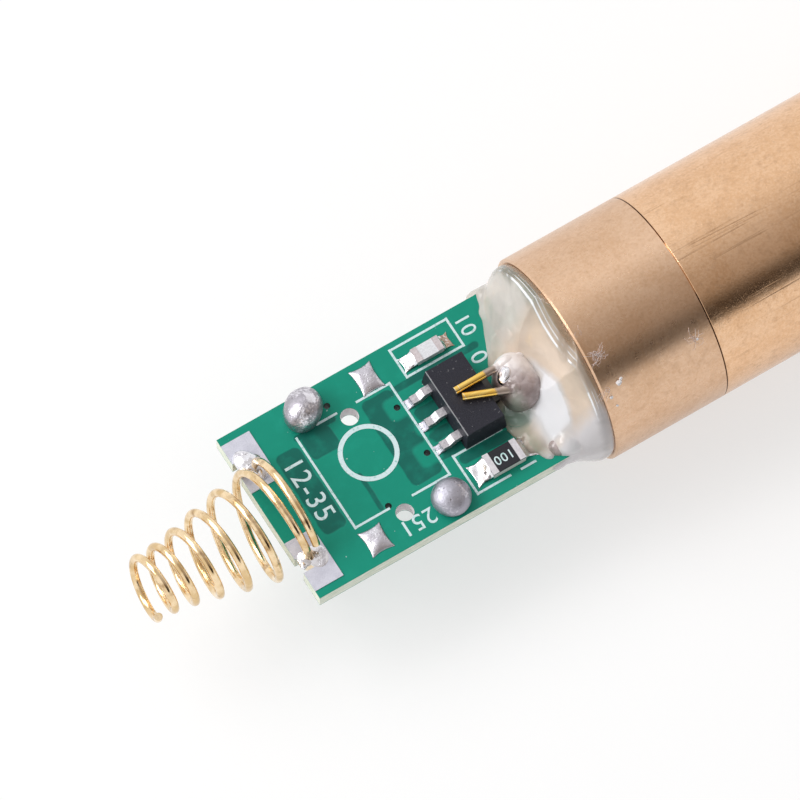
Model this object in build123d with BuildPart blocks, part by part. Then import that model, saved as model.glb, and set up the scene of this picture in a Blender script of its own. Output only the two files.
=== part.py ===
from build123d import *

import os
from math import cos, pi, radians, sin, sqrt

# Laser diode module: a two-piece brass barrel with a diode and a lens inside,
# a driver board glued to its rear end, and a conical battery spring on the board.
# The origin is at the middle of the barrel, on the beam's axis. +X points out of
# the lens, and +Z is the board's component side. Sizes are in millimetres.

# Brass barrel
barrel_diameter = 12.0
barrel_length = 30.0
holder_length = 6.9
edge_break = 0.1
seam_break = 0.05
press_fit = 0.01
slide_fit = 0.03

# Spigot that joins the diode holder to the front tube, and the tube's walls
sleeve_wall = 1.0
spigot_length = 4.0
spigot_end_gap = 0.2
tube_wall = 2.0

# Recess behind the diode
recess_wall = 1.8
recess_depth = 3.0

# Diode in its can
header_diameter = 5.6
header_thickness = 1.2
can_diameter = 3.55
can_height = 2.3
can_wall = 0.2
can_flange = 0.35
can_room = 0.1
window_opening = 1.6
window_thickness = 0.25
window_side_gap = 0.1
post_width = 1.4
post_depth = 0.8
post_length = 1.3
chip_length = 0.6
chip_width = 0.3
chip_thickness = 0.12

# Diode leads, two over the board and a spare one cut short
lead_diameter = 0.45
lead_circle = 2.0
lead_inside_can = 0.5
lead_bend_radius = 0.7
seal_width = 0.25
long_lead_angle = 60.0
short_lead_angle = 150.0
spare_lead_angle = 240.0
spare_lead_length = 2.0
lead_straight = 2.1
lead_bend_inset = 0.85
long_lead_reach = 4.3
short_lead_reach = 4.12
long_lead_y = 0.45
short_lead_bend_y = -1.35
short_lead_end_y = -0.03
lead_clearance = 0.06

# Lens and its cell
pocket_wall = 1.5
cell_length = 6.0
cell_setback = 0.8
cell_floor = 2.0
cell_wall = 0.94
lens_ledge = 0.75
lens_edge = 1.0
lens_focus = 20.0
glass_index = 1.517
lens_ring_width = 1.2
lens_ring_wall = 0.7
key_slot_width = 1.0
key_slot_depth = 0.7

# Circuit board
board_length = 16.0
board_width = 10.4
board_thickness = 1.0
board_top = 0.6
board_gap = 1.75
pad_thickness = 0.05
via_diameter = 0.36
peg_hole_diameter = 1.0

# Places of the switch's pads and holes: distance from the board's rear edge and from its middle line
via_places = [(5.95, 3.85), (5.75, -2.65), (9.05, 1.85), (9.05, -1.15)]
peg_places = [(6.65, 2.7), (6.3, -3.4)]
rear_dome_place = (4.68, 4.15)
front_dome_place = (8.75, -4.05)
switch_pad_places = [(8.53, 4.05), (4.2, -3.95)]

# Places of the driver's parts: distance from the board's front edge and from its middle line
transistor_place = (3.85, 0.17)
resistor_place = (3.75, -3.6)
small_chip_place = (3.95, 3.72)
lead_solder_place = (1.0, -0.5)
ground_solder_place = (0.9, -4.4)

# Contact pads at the rear edge
contact_pad_length = 1.72
contact_pad_width = 3.1
contact_pad_margin = 0.45

# Battery spring
wire_diameter = 0.45
base_coil_diameter = 6.25
tip_coil_diameter = 3.3
spring_start = 1.24
spring_start_angle = 153.0
seated_turns = 0.95
seated_pitch = 0.5
free_turns = 5.95
base_pitch = 1.91
tip_pitch = 0.92
taper_first_turn = 0.0
taper_last_turn = 6.3
points_per_turn = 12
spring_lean = 3.5
lean_turns = 0.8
slot_clearance = 0.22

# Solder
spring_solder_diameter = 1.45
spring_solder_height = 0.6
rear_dome_foot = 2.05
rear_dome_height = 1.45
front_dome_foot = 2.1
front_dome_height = 1.15
switch_pad_length = 1.3
switch_pad_width = 1.55
switch_pad_bow = 0.1
switch_solder_height = 0.14
lead_solder_length = 2.2
lead_solder_width = 3.2
lead_solder_cover = 0.3
ground_solder_diameter = 1.1
ground_solder_height = 0.5
mound_crown = 0.12

# Driver transistor
transistor_length = 2.5
transistor_width = 4.5
transistor_height = 1.5
transistor_draft = 5.0
leg_pitch = 1.5
leg_width = 0.46
leg_thickness = 0.4
leg_reach = 1.1
leg_root = 0.6
leg_foot = 0.55
leg_bend = 0.3
leg_rise = 0.28
tab_thickness = 0.4
tab_width = 1.7
tab_reach = 0.45
foot_solder_length = 0.32
foot_solder_height = 0.34

# Chip resistor and small chip, each with a metal cap on both ends
resistor_length = 2.0
resistor_width = 1.25
resistor_height = 0.55
resistor_solder_length = 0.9
resistor_solder_height = 0.42
small_chip_length = 1.65
small_chip_width = 0.85
small_chip_height = 0.45
small_chip_solder_length = 0.72
small_chip_solder_height = 0.36
cap_wrap = 0.35
cap_thickness = 0.03
solder_toe_slope = 0.12

# Clear glue: a collar behind the barrel that slopes down to an oval tongue on the board
glue_rim_margin = 0.2
glue_coat = 0.16
glue_collar_length = 0.6
glue_collar_sag = 0.06
glue_tongue_reach = 2.65
glue_tongue_half_width = 2.3
glue_tongue_half_height = 0.8
glue_tongue_side = -2.2
glue_slope_sections = 6
glue_narrowing = 1.4
glue_hollow = 2.1

# Planes and radii that follow from the sizes above
barrel_radius = barrel_diameter / 2
spigot_diameter = barrel_diameter - 2 * sleeve_wall
tube_bore = barrel_diameter - 2 * tube_wall
recess_diameter = barrel_diameter - 2 * recess_wall
pocket_diameter = barrel_diameter - 2 * pocket_wall
rear_face = -barrel_length / 2
front_face = barrel_length / 2
seam = rear_face + holder_length
spigot_end = seam + spigot_length
header_rear = rear_face + recess_depth
header_front = header_rear + header_thickness
can_front = header_front + can_height
can_bore = can_diameter / 2 + can_flange + can_room
can_inside = can_diameter / 2 - can_wall
cell_front = front_face - cell_setback
cell_rear = cell_front - cell_length
lens_seat = cell_rear + cell_floor
cell_radius = pocket_diameter / 2 - slide_fit
lens_bore = cell_radius - cell_wall
lens_radius = lens_bore - slide_fit
cell_aperture = 2 * (lens_radius - lens_ledge)
lens_ring_bore = 2 * (lens_radius - lens_ring_wall)
board_front = rear_face - board_gap
board_rear = board_front - board_length
board_bottom = board_top - board_thickness
pad_top = board_top + pad_thickness
lead_radius = lead_diameter / 2
lead_height = board_top + transistor_height + lead_clearance + lead_radius
wire_radius = wire_diameter / 2
base_coil_radius = base_coil_diameter / 2
tip_coil_radius = tip_coil_diameter / 2

os.makedirs("parts", exist_ok=True)


def save(piece, name):
    """Label a finished piece and write it under that name."""
    piece.part.label = name
    export_step(piece.part, f"parts/{name}.step")


def from_rear(place):
    """The x and y of a place on the board that is measured from its rear edge."""
    return (board_rear + place[0], place[1])


def from_front(place):
    """The x and y of a place on the board that is measured from its front edge."""
    return (board_front - place[0], place[1])


def turned(corners):
    """Turn a closed outline of (x, radius) corners about the beam's axis."""
    with BuildSketch(Plane.XY) as outline:
        with BuildLine():
            Polyline(*corners, close=True)
        make_face()
    revolve(outline.sketch, axis=Axis.X)


def outer_rims(piece):
    """The round edges at the barrel's full diameter, from rear to front."""
    rims = piece.edges().filter_by(GeomType.CIRCLE)
    return rims.filter_by(lambda rim: abs(rim.radius - barrel_radius) < press_fit).sort_by(Axis.X)


def upright_at(x, y, z):
    """A plane that stands along the beam's axis, with its own X along it."""
    return Plane(origin=(x, y, z), x_dir=(1, 0, 0), z_dir=(0, -1, 0))


def solder_drop(spot, foot, height, base):
    """A round drop of solder on a flat base, which swells past its foot where it is tall."""
    x, y = spot
    with BuildSketch(upright_at(x, y, base)) as outline:
        with BuildLine():
            Line((0, 0), (foot / 2, 0))
            TangentArc((0, height), (foot / 2, 0), tangent=(1, 0))
            Line((0, height), (0, 0))
        make_face()
    revolve(outline.sketch, axis=Axis((x, y, base), (0, 0, 1)))


def solder_mound(spot, length, width, height):
    """A tall mound of solder on the board: an oval block, rounded up to a narrow crown."""
    with BuildSketch(Plane.XY.offset(board_top)) as foot:
        with Locations(spot):
            SlotOverall(width, length, rotation=90)
    mound = extrude(foot.sketch, amount=height)
    fillet(mound.edges().group_by(Axis.Z)[-1], length / 2 - mound_crown)


def solder_wedge(x, y, direction, length, height, width):
    """A hollow-faced solder fillet that runs down from an end face to the board."""
    with BuildSketch(upright_at(x, y, board_top)) as outline:
        with BuildLine():
            Line((0, 0), (direction * length, 0))
            TangentArc((direction * length, 0), (0, height), tangent=(-direction, solder_toe_slope))
            Line((0, height), (0, 0))
        make_face()
    extrude(outline.sketch, amount=width / 2, both=True)


# Diode holder: the short brass ring at the rear, with a stepped bore and a spigot
with BuildPart() as diode_holder:
    turned(
        [
            (rear_face, recess_diameter / 2),
            (rear_face, barrel_radius),
            (seam, barrel_radius),
            (seam, spigot_diameter / 2),
            (spigot_end, spigot_diameter / 2),
            (spigot_end, can_bore),
            (header_front, can_bore),
            (header_front, header_diameter / 2 + press_fit),
            (header_rear, header_diameter / 2 + press_fit),
            (header_rear, recess_diameter / 2),
        ]
    )
    chamfer(outer_rims(diode_holder)[0], edge_break)
    chamfer(outer_rims(diode_holder)[-1], seam_break)
save(diode_holder, "diode_holder")

# Front tube: the long brass sleeve, bored for the spigot, the beam and the lens cell
with BuildPart() as front_tube:
    socket_radius = spigot_diameter / 2 + press_fit
    socket_end = spigot_end + spigot_end_gap
    turned(
        [
            (seam, socket_radius),
            (seam, barrel_radius),
            (front_face, barrel_radius),
            (front_face, pocket_diameter / 2),
            (cell_rear, pocket_diameter / 2),
            (cell_rear, tube_bore / 2),
            (socket_end, tube_bore / 2),
            (socket_end, socket_radius),
        ]
    )
    chamfer(outer_rims(front_tube)[0], seam_break)
    chamfer(outer_rims(front_tube)[-1], edge_break)
save(front_tube, "front_tube")

# Lens cell: a turned sleeve in the front pocket, with two key slots in its front end
with BuildPart() as lens_cell:
    turned(
        [
            (cell_rear, cell_aperture / 2),
            (cell_rear, cell_radius),
            (cell_front, cell_radius),
            (cell_front, lens_bore),
            (lens_seat, lens_bore),
            (lens_seat, cell_aperture / 2),
        ]
    )
    with BuildSketch(Plane.YZ.offset(cell_front)):
        Rectangle(pocket_diameter, key_slot_width)
    extrude(amount=-key_slot_depth, mode=Mode.SUBTRACT)
save(lens_cell, "lens_cell")

# Collimating lens: flat towards the diode, domed towards the front
with BuildPart() as lens:
    lens_curve = lens_focus * (glass_index - 1)
    lens_crown = lens_curve - sqrt(lens_curve**2 - lens_radius**2)
    lens_rim = lens_seat + lens_edge
    lens_top = lens_rim + lens_crown
    with BuildSketch(Plane.XY):
        with BuildLine():
            Polyline((lens_top, 0), (lens_seat, 0), (lens_seat, lens_radius), (lens_rim, lens_radius))
            TangentArc((lens_top, 0), (lens_rim, lens_radius), tangent=(0, 1))
        make_face()
    revolve(axis=Axis.X)
save(lens, "lens")

# Lens ring: a slotted ring, seated on the lens's curve, that holds the lens down
with BuildPart() as lens_ring:
    ring_front = lens_rim + lens_ring_width
    turned(
        [
            (lens_rim, lens_ring_bore / 2),
            (lens_rim, lens_radius),
            (ring_front, lens_radius),
            (ring_front, lens_ring_bore / 2),
        ]
    )
    with BuildSketch(Plane.YZ.offset(ring_front)):
        Rectangle(2 * lens_radius, key_slot_width)
    extrude(amount=-lens_ring_width / 2, mode=Mode.SUBTRACT)
    add(lens.part, mode=Mode.SUBTRACT)
save(lens_ring, "lens_ring")


def lead_spot(angle):
    """The y and z of a lead on the lead circle."""
    return (lead_circle / 2 * cos(radians(angle)), lead_circle / 2 * sin(radians(angle)))


sealed_spots = [lead_spot(long_lead_angle), lead_spot(short_lead_angle)]

# Diode header: the round metal base, with a post that carries the chip
with BuildPart() as diode_header:
    with BuildSketch(Plane.YZ.offset(header_rear)):
        Circle(header_diameter / 2)
        with Locations(*sealed_spots):
            Circle(lead_radius + seal_width, mode=Mode.SUBTRACT)
    extrude(amount=header_thickness)
    with BuildSketch(Plane.YZ.offset(header_front)):
        with Locations((0, -(chip_thickness + post_depth) / 2)):
            Rectangle(post_width, post_depth)
    extrude(amount=post_length)
save(diode_header, "diode_header")

# Lead seals: glass beads that hold the two live leads in the header
with BuildPart() as lead_seals:
    with BuildSketch(Plane.YZ.offset(header_rear)):
        with Locations(*sealed_spots):
            Circle(lead_radius + seal_width)
            Circle(lead_radius, mode=Mode.SUBTRACT)
    extrude(amount=header_thickness)
save(lead_seals, "lead_seals")

# Laser chip: a thin bar on top of the post, level with the axis
with BuildPart() as laser_chip:
    with BuildSketch(Plane.YZ.offset(header_front + post_length - chip_length)):
        Rectangle(chip_width, chip_thickness)
    extrude(amount=chip_length)
save(laser_chip, "laser_chip")

# Diode cap: a drawn can with a flange, open at the front for the beam
with BuildPart() as diode_cap:
    turned(
        [
            (header_front, can_inside),
            (header_front, can_diameter / 2 + can_flange),
            (header_front + can_wall, can_diameter / 2 + can_flange),
            (header_front + can_wall, can_diameter / 2),
            (can_front, can_diameter / 2),
            (can_front, window_opening / 2),
            (can_front - can_wall, window_opening / 2),
            (can_front - can_wall, can_inside),
        ]
    )
save(diode_cap, "diode_cap")

# Diode window: a glass disc behind the cap's opening
with BuildPart() as diode_window:
    with BuildSketch(Plane.YZ.offset(can_front - can_wall)):
        Circle(can_inside - window_side_gap)
    extrude(amount=-window_thickness)
save(diode_window, "diode_window")

# Diode leads: two wires rise out of the recess and lie over the transistor
with BuildPart() as diode_leads:
    lead_root = header_front + lead_inside_can
    lead_bend = header_rear - lead_straight
    long_y, long_z = lead_spot(long_lead_angle)
    short_y, short_z = lead_spot(short_lead_angle)
    with BuildLine() as long_lead:
        FilletPolyline(
            (lead_root, long_y, long_z),
            (lead_bend, long_y, long_z),
            (board_front - lead_bend_inset, long_lead_y, lead_height),
            (board_front - long_lead_reach, long_lead_y, lead_height),
            radius=lead_bend_radius,
        )
    with BuildSketch(Plane(origin=long_lead.line @ 0, z_dir=long_lead.line % 0)):
        Circle(lead_radius)
    sweep(path=long_lead.line)
    with BuildLine() as short_lead:
        FilletPolyline(
            (lead_root, short_y, short_z),
            (lead_bend, short_y, short_z),
            (board_front - lead_bend_inset, short_lead_bend_y, lead_height),
            (board_front - short_lead_reach, short_lead_end_y, lead_height),
            radius=lead_bend_radius,
        )
    with BuildSketch(Plane(origin=short_lead.line @ 0, z_dir=short_lead.line % 0)):
        Circle(lead_radius)
    sweep(path=short_lead.line)
    with BuildSketch(Plane.YZ.offset(header_rear)):
        with Locations(lead_spot(spare_lead_angle)):
            Circle(lead_radius)
    extrude(amount=-spare_lead_length)
save(diode_leads, "diode_leads")


def coil_radius(turn):
    """Coil radius along the spring: full at the seat, eased down to the tip."""
    share = (turn - taper_first_turn) / (taper_last_turn - taper_first_turn)
    share = min(max(share, 0), 1)
    return tip_coil_radius + (base_coil_radius - tip_coil_radius) * (1 + cos(pi * share)) / 2


def coil_x(turn):
    """Place of the wire along the axis: a close seated turn, then opening free turns."""
    seated = min(turn, seated_turns)
    free = max(turn - seated_turns, 0)
    opened = base_pitch * free + (tip_pitch - base_pitch) * free**2 / (2 * free_turns)
    return board_rear + spring_start - seated_pitch * seated - opened


def coil_point(turn):
    """A point on the middle of the wire; the free turns lean up from the seat."""
    angle = radians(spring_start_angle - 360 * turn)
    height = coil_radius(turn) * sin(angle)
    seat_end = coil_x(seated_turns)
    reach = max(seat_end - coil_x(turn), 0)
    lean = radians(spring_lean) * min(max(turn - seated_turns, 0) / lean_turns, 1)
    return (
        coil_x(turn) + reach * (1 - cos(lean)) + height * sin(lean),
        coil_radius(turn) * cos(angle),
        reach * sin(lean) + height * cos(lean),
    )


upper_crossing = spring_start_angle / 360
lower_crossing = upper_crossing + 0.5
slot_width = wire_diameter + 2 * slot_clearance
slot_depth = coil_x(upper_crossing) + wire_radius + slot_clearance - board_rear
seat_x = (coil_x(upper_crossing) + coil_x(lower_crossing)) / 2

# Battery spring: one wire that threads both board slots and tapers to its tip
with BuildPart() as battery_spring:
    coil_steps = round((seated_turns + free_turns) * points_per_turn)
    with BuildLine() as coil:
        Spline(*[coil_point(step / points_per_turn) for step in range(coil_steps + 1)])
    with BuildSketch(Plane(origin=coil.line @ 0, z_dir=coil.line % 0)):
        Circle(wire_radius)
    sweep(path=coil.line, is_frenet=True)
save(battery_spring, "battery_spring")


def spring_slots():
    """Cut the two slots that the spring's wire passes through at the rear edge."""
    with Locations((board_rear, base_coil_radius), (board_rear, -base_coil_radius)):
        SlotOverall(2 * slot_depth, slot_width, mode=Mode.SUBTRACT)


# Circuit board: glass laminate with spring slots, peg holes and through-plated holes
with BuildPart() as circuit_board:
    with BuildSketch(Plane.XY.offset(board_bottom)):
        with Locations(((board_rear + board_front) / 2, 0)):
            Rectangle(board_length, board_width)
        spring_slots()
        with Locations(*[from_rear(place) for place in peg_places]):
            Circle(peg_hole_diameter / 2, mode=Mode.SUBTRACT)
        with Locations(*[from_rear(place) for place in via_places]):
            Circle(via_diameter / 2, mode=Mode.SUBTRACT)
    extrude(amount=board_thickness)
save(circuit_board, "circuit_board")

# Contact pads: two tinned copper areas at the rear edge, round the spring slots
with BuildPart() as contact_pads:
    pad_middle = board_width / 2 - contact_pad_margin - contact_pad_width / 2
    with BuildSketch(Plane.XY.offset(board_top)):
        with Locations(
            (board_rear + contact_pad_length / 2, pad_middle),
            (board_rear + contact_pad_length / 2, -pad_middle),
        ):
            Rectangle(contact_pad_length, contact_pad_width)
        spring_slots()
    extrude(amount=pad_thickness)
save(contact_pads, "contact_pads")

# Spring solder: fills each slot round the wire and domes over the pad
with BuildPart() as spring_solder:
    for side in (1, -1):
        with BuildSketch(Plane.XY.offset(board_bottom)):
            with Locations((seat_x, side * base_coil_radius)):
                Circle(slot_width / 2)
        extrude(amount=board_thickness + pad_thickness)
        seat_spot = (seat_x, side * base_coil_radius)
        solder_drop(seat_spot, spring_solder_diameter, spring_solder_height, pad_top)
    add(battery_spring.part, mode=Mode.SUBTRACT)
save(spring_solder, "spring_solder")

# Solder domes: two large drops on the switch's through-holes
with BuildPart() as solder_domes:
    solder_drop(from_rear(rear_dome_place), rear_dome_foot, rear_dome_height, board_top)
    solder_drop(from_rear(front_dome_place), front_dome_foot, front_dome_height, board_top)
save(solder_domes, "solder_domes")

# Switch pads: thin pillows of solder whose sides draw in between their corners
with BuildPart() as switch_pads:
    for place in switch_pad_places:
        x, y = from_rear(place)
        half_x = switch_pad_length / 2
        half_y = switch_pad_width / 2
        corners = [
            (x - half_x, y - half_y),
            (x + half_x, y - half_y),
            (x + half_x, y + half_y),
            (x - half_x, y + half_y),
        ]
        with BuildSketch(Plane.XY.offset(board_top)):
            with BuildLine():
                for start, end in zip(corners, corners[1:] + corners[:1]):
                    SagittaArc(start, end, switch_pad_bow)
            make_face()
        extrude(amount=switch_solder_height)
save(switch_pads, "switch_pads")


def bent_leg(x, y, root):
    """A flat leg that lies on the board, then bends up and runs into the body at its root."""
    bend_end = leg_foot + leg_bend
    lag = leg_thickness * leg_rise / (leg_bend + sqrt(leg_bend**2 + leg_rise**2))
    with BuildSketch(upright_at(x, y, board_top)) as side:
        with BuildLine():
            Polyline(
                (0, 0),
                (leg_foot, 0),
                (bend_end, leg_rise),
                (root, leg_rise),
                (root, leg_rise + leg_thickness),
                (bend_end - lag, leg_rise + leg_thickness),
                (leg_foot - lag, leg_thickness),
                (0, leg_thickness),
                close=True,
            )
        make_face()
    extrude(side.sketch, amount=leg_width / 2, both=True)


# Transistor legs: three bent copper legs, the middle one in one piece with the cooling tab
with BuildPart() as transistor_legs:
    transistor_x, transistor_y = from_front(transistor_place)
    leg_end = transistor_x - transistor_length / 2 - leg_reach
    tab_end = transistor_x + transistor_length / 2 + tab_reach
    leg_rows = [transistor_y + step * leg_pitch for step in (-1, 0, 1)]
    for row in leg_rows:
        bent_leg(leg_end, row, leg_reach + leg_root)
    bent_leg(leg_end, transistor_y, transistor_x + leg_root - leg_end)
    with BuildSketch(Plane.XY.offset(board_top)):
        with Locations(((transistor_x + tab_end) / 2, transistor_y)):
            Rectangle(tab_end - transistor_x, tab_width)
    extrude(amount=tab_thickness)
save(transistor_legs, "transistor_legs")

# Transistor body: black moulded block with drafted sides, cast round the legs
with BuildPart() as transistor_body:
    with BuildSketch(Plane.XY.offset(board_top)):
        with Locations((transistor_x, transistor_y)):
            Rectangle(transistor_length, transistor_width)
    extrude(amount=transistor_height, taper=transistor_draft)
    add(transistor_legs.part, mode=Mode.SUBTRACT)
save(transistor_body, "transistor_body")

# Foot solder: a fillet at the end of each leg
with BuildPart() as foot_solder:
    for row in leg_rows:
        solder_wedge(leg_end, row, -1, foot_solder_length, foot_solder_height, leg_width)
save(foot_solder, "foot_solder")


def chip_body(spot, length, width, height):
    """The ceramic block of a chip part, between and inside its end caps."""
    with BuildSketch(Plane.XY.offset(board_top + cap_thickness)) as outline:
        with Locations(spot):
            Rectangle(length - 2 * cap_thickness, width)
    extrude(outline.sketch, amount=height - 2 * cap_thickness)


def chip_caps(spot, length, width, height):
    """The two thin metal caps that wrap round a chip part's ends."""
    x, y = spot
    with BuildSketch(upright_at(x, y, board_top)) as outline:
        with Locations((0, height / 2)):
            Rectangle(length, height)
            Rectangle(length - 2 * cap_thickness, height - 2 * cap_thickness, mode=Mode.SUBTRACT)
            Rectangle(length - 2 * cap_wrap, height, mode=Mode.SUBTRACT)
    extrude(outline.sketch, amount=width / 2, both=True)


def chip_solder(spot, chip_length, width, length, height):
    """The solder fillets at both ends of a chip part."""
    x, y = spot
    for direction in (-1, 1):
        solder_wedge(x + direction * chip_length / 2, y, direction, length, height, width)


# Sense resistor: chip, caps and solder
resistor_spot = from_front(resistor_place)

with BuildPart() as resistor_body:
    chip_body(resistor_spot, resistor_length, resistor_width, resistor_height)
save(resistor_body, "resistor_body")

with BuildPart() as resistor_caps:
    chip_caps(resistor_spot, resistor_length, resistor_width, resistor_height)
save(resistor_caps, "resistor_caps")

with BuildPart() as resistor_solder:
    chip_solder(
        resistor_spot,
        resistor_length,
        resistor_width,
        resistor_solder_length,
        resistor_solder_height,
    )
save(resistor_solder, "resistor_solder")

# Small pale chip: chip, caps and solder
small_chip_spot = from_front(small_chip_place)

with BuildPart() as small_chip_body:
    chip_body(small_chip_spot, small_chip_length, small_chip_width, small_chip_height)
save(small_chip_body, "small_chip_body")

with BuildPart() as small_chip_caps:
    chip_caps(small_chip_spot, small_chip_length, small_chip_width, small_chip_height)
save(small_chip_caps, "small_chip_caps")

with BuildPart() as small_chip_solder:
    chip_solder(
        small_chip_spot,
        small_chip_length,
        small_chip_width,
        small_chip_solder_length,
        small_chip_solder_height,
    )
save(small_chip_solder, "small_chip_solder")

# Lead solder: a tall mound that joins the diode leads to the board, and a small drop beside it
lead_solder_spot = from_front(lead_solder_place)
lead_solder_height = lead_height + lead_solder_cover - board_top

with BuildPart() as lead_solder:
    solder_mound(lead_solder_spot, lead_solder_length, lead_solder_width, lead_solder_height)
    solder_drop(from_front(ground_solder_place), ground_solder_diameter, ground_solder_height, board_top)
    add(diode_leads.part, mode=Mode.SUBTRACT)
save(lead_solder, "lead_solder")

# Clear glue: fills the recess, bridges to the board and coats the lead solder
with BuildPart() as glue:
    solder_mound(
        lead_solder_spot,
        lead_solder_length + 2 * glue_coat,
        lead_solder_width + 2 * glue_coat,
        lead_solder_height + glue_coat,
    )
    glue_radius = barrel_radius - glue_rim_margin
    collar_radius = glue_radius - glue_collar_sag
    collar_rear = rear_face - glue_collar_length
    tongue_end = board_front - glue_tongue_reach
    with BuildSketch(Plane.YZ.offset(rear_face)):
        Circle(glue_radius)
    for section in range(glue_slope_sections):
        along = section / (glue_slope_sections - 1)
        narrowed = along**glue_narrowing
        lowered = 1 - (1 - along) ** glue_hollow
        half_width = collar_radius + (glue_tongue_half_width - collar_radius) * narrowed
        half_height = collar_radius + (glue_tongue_half_height - collar_radius) * lowered
        with BuildSketch(Plane.YZ.offset(collar_rear + (tongue_end - collar_rear) * along)):
            with Locations((glue_tongue_side * narrowed, 0)):
                Ellipse(half_width, half_height)
    loft()
    with BuildSketch(Plane.YZ.offset(rear_face)):
        Circle(recess_diameter / 2 - press_fit)
    extrude(amount=recess_depth)
    chip_pieces = [resistor_body, resistor_caps, resistor_solder, small_chip_solder]
    for held in [circuit_board, transistor_body, transistor_legs, *chip_pieces, lead_solder, diode_leads]:
        add(held.part, mode=Mode.SUBTRACT)
save(glue, "glue")
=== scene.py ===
from math import cos, hypot, pi, radians, sin, tau

import bpy
from mathutils import Matrix, Vector, noise


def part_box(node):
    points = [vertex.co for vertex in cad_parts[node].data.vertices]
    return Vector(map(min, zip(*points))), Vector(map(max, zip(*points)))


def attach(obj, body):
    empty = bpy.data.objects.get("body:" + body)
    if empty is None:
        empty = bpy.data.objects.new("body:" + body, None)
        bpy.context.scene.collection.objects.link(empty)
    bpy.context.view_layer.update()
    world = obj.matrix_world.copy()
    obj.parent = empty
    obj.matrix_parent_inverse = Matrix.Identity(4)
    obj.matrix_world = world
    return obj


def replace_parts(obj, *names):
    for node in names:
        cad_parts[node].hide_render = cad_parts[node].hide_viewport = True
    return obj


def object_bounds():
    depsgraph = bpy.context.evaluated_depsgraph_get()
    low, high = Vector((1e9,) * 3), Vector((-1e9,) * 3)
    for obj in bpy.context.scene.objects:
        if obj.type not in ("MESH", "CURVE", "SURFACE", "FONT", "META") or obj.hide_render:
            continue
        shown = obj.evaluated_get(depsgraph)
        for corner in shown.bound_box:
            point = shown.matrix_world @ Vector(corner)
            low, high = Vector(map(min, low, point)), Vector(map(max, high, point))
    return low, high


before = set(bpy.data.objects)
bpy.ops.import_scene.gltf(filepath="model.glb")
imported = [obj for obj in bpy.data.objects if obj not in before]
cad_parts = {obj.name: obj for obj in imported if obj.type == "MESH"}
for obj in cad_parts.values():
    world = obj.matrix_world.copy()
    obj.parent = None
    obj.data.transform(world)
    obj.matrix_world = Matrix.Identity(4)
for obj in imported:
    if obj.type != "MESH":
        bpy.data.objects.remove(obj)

cad_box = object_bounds()


# Barrel: a short diode holder and a long front tube, turned from brass rod and
# pressed together. The holder is matt from tumbling, the tube is polished along
# its length and has fine scratches, and both are a little tarnished.
MM = 0.001


class Value:
    """A socket in a node tree. Sums and products of values add Math nodes."""

    def __init__(self, tree, socket=None):
        self.tree = tree
        self.socket = socket

    def node(self, kind, settings=None, inputs=None, output=0):
        """Add a node of any type: first its settings, then its values and links."""
        made = self.tree.nodes.new("ShaderNode" + kind)
        for key, setting in (settings or {}).items():
            setattr(made, key, setting)
        for key, given in (inputs or {}).items():
            if isinstance(given, Value):
                self.tree.links.new(given.socket, made.inputs[key])
            else:
                made.inputs[key].default_value = given
        return Value(self.tree, made.outputs[output] if made.outputs else None)

    def math(self, operation, first, second=0.0):
        return self.node("Math", {"operation": operation}, {0: first, 1: second})

    def __add__(self, other):
        return self.math("ADD", self, other)

    __radd__ = __add__

    def __sub__(self, other):
        return self.math("SUBTRACT", self, other)

    def __rsub__(self, other):
        return self.math("SUBTRACT", other, self)

    def __mul__(self, other):
        return self.math("MULTIPLY", self, other)

    __rmul__ = __mul__

    def __abs__(self):
        return self.math("ABSOLUTE", self)

    def lesser(self, other):
        return self.math("MINIMUM", self, other)

    def greater(self, other):
        return self.math("MAXIMUM", self, other)

    def rise(self, start, end):
        """Ease from 0 at start to 1 at end."""
        settings = {"interpolation_type": "SMOOTHSTEP"}
        return self.node("MapRange", settings, {"Value": self, "From Min": start, "From Max": end})

    def near(self, middle, width):
        """1 at the middle, easing to 0 at the given distance from it."""
        return 1 - abs(self - middle).rise(width * 0.5, width)

    def colour(self, low, high):
        """The low colour where this is 0, and the high colour where it is 1."""
        return self.node("Mix", {"data_type": "RGBA"}, {0: self, 6: low, 7: high}, output=2)

    def parts(self):
        """The three parts of a vector."""
        outputs = self.node("SeparateXYZ", {}, {0: self}).socket.node.outputs
        return [Value(self.tree, outputs[axis]) for axis in range(3)]

    def times(self, x, y, z):
        """A vector with each part scaled on its own."""
        return self.node("VectorMath", {"operation": "MULTIPLY"}, {0: self, 1: (x, y, z)})

    def grain(self, scale, detail=2.0, distortion=0.0):
        """Soft noise from 0 to 1 over a place; the scale is in features for each millimetre."""
        inputs = {"Vector": self, "Scale": scale, "Detail": detail, "Distortion": distortion}
        return self.node("TexNoise", {}, inputs)

    def relief(self, depth_mm, strength=1.0):
        """A bump of the given depth where this height runs from 0 to 1."""
        inputs = {"Height": self, "Distance": depth_mm * MM, "Strength": strength}
        return self.node("Bump", {}, inputs, output="Normal")


def new_finish(name):
    """An empty material, a handle on its node tree, and the place in millimetres."""
    material = bpy.data.materials.new(name)
    material.use_nodes = True
    material.node_tree.nodes.clear()
    tree = Value(material.node_tree)
    place = tree.node("TexCoord", output="Object")
    return material, tree, place.times(1 / MM, 1 / MM, 1 / MM)


def close_finish(tree, sockets):
    """End a material in one surface shader."""
    shader = tree.node("BsdfPrincipled", {}, sockets, output="BSDF")
    tree.node("OutputMaterial", {}, {"Surface": shader})


def cover(mesh, material):
    """Give the whole of a mesh one material."""
    mesh.materials.clear()
    mesh.materials.append(material)
    for face in mesh.polygons:
        face.material_index = 0


def dress(node, material):
    """Give a CAD node its finish."""
    cover(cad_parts[node].data, material)


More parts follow.
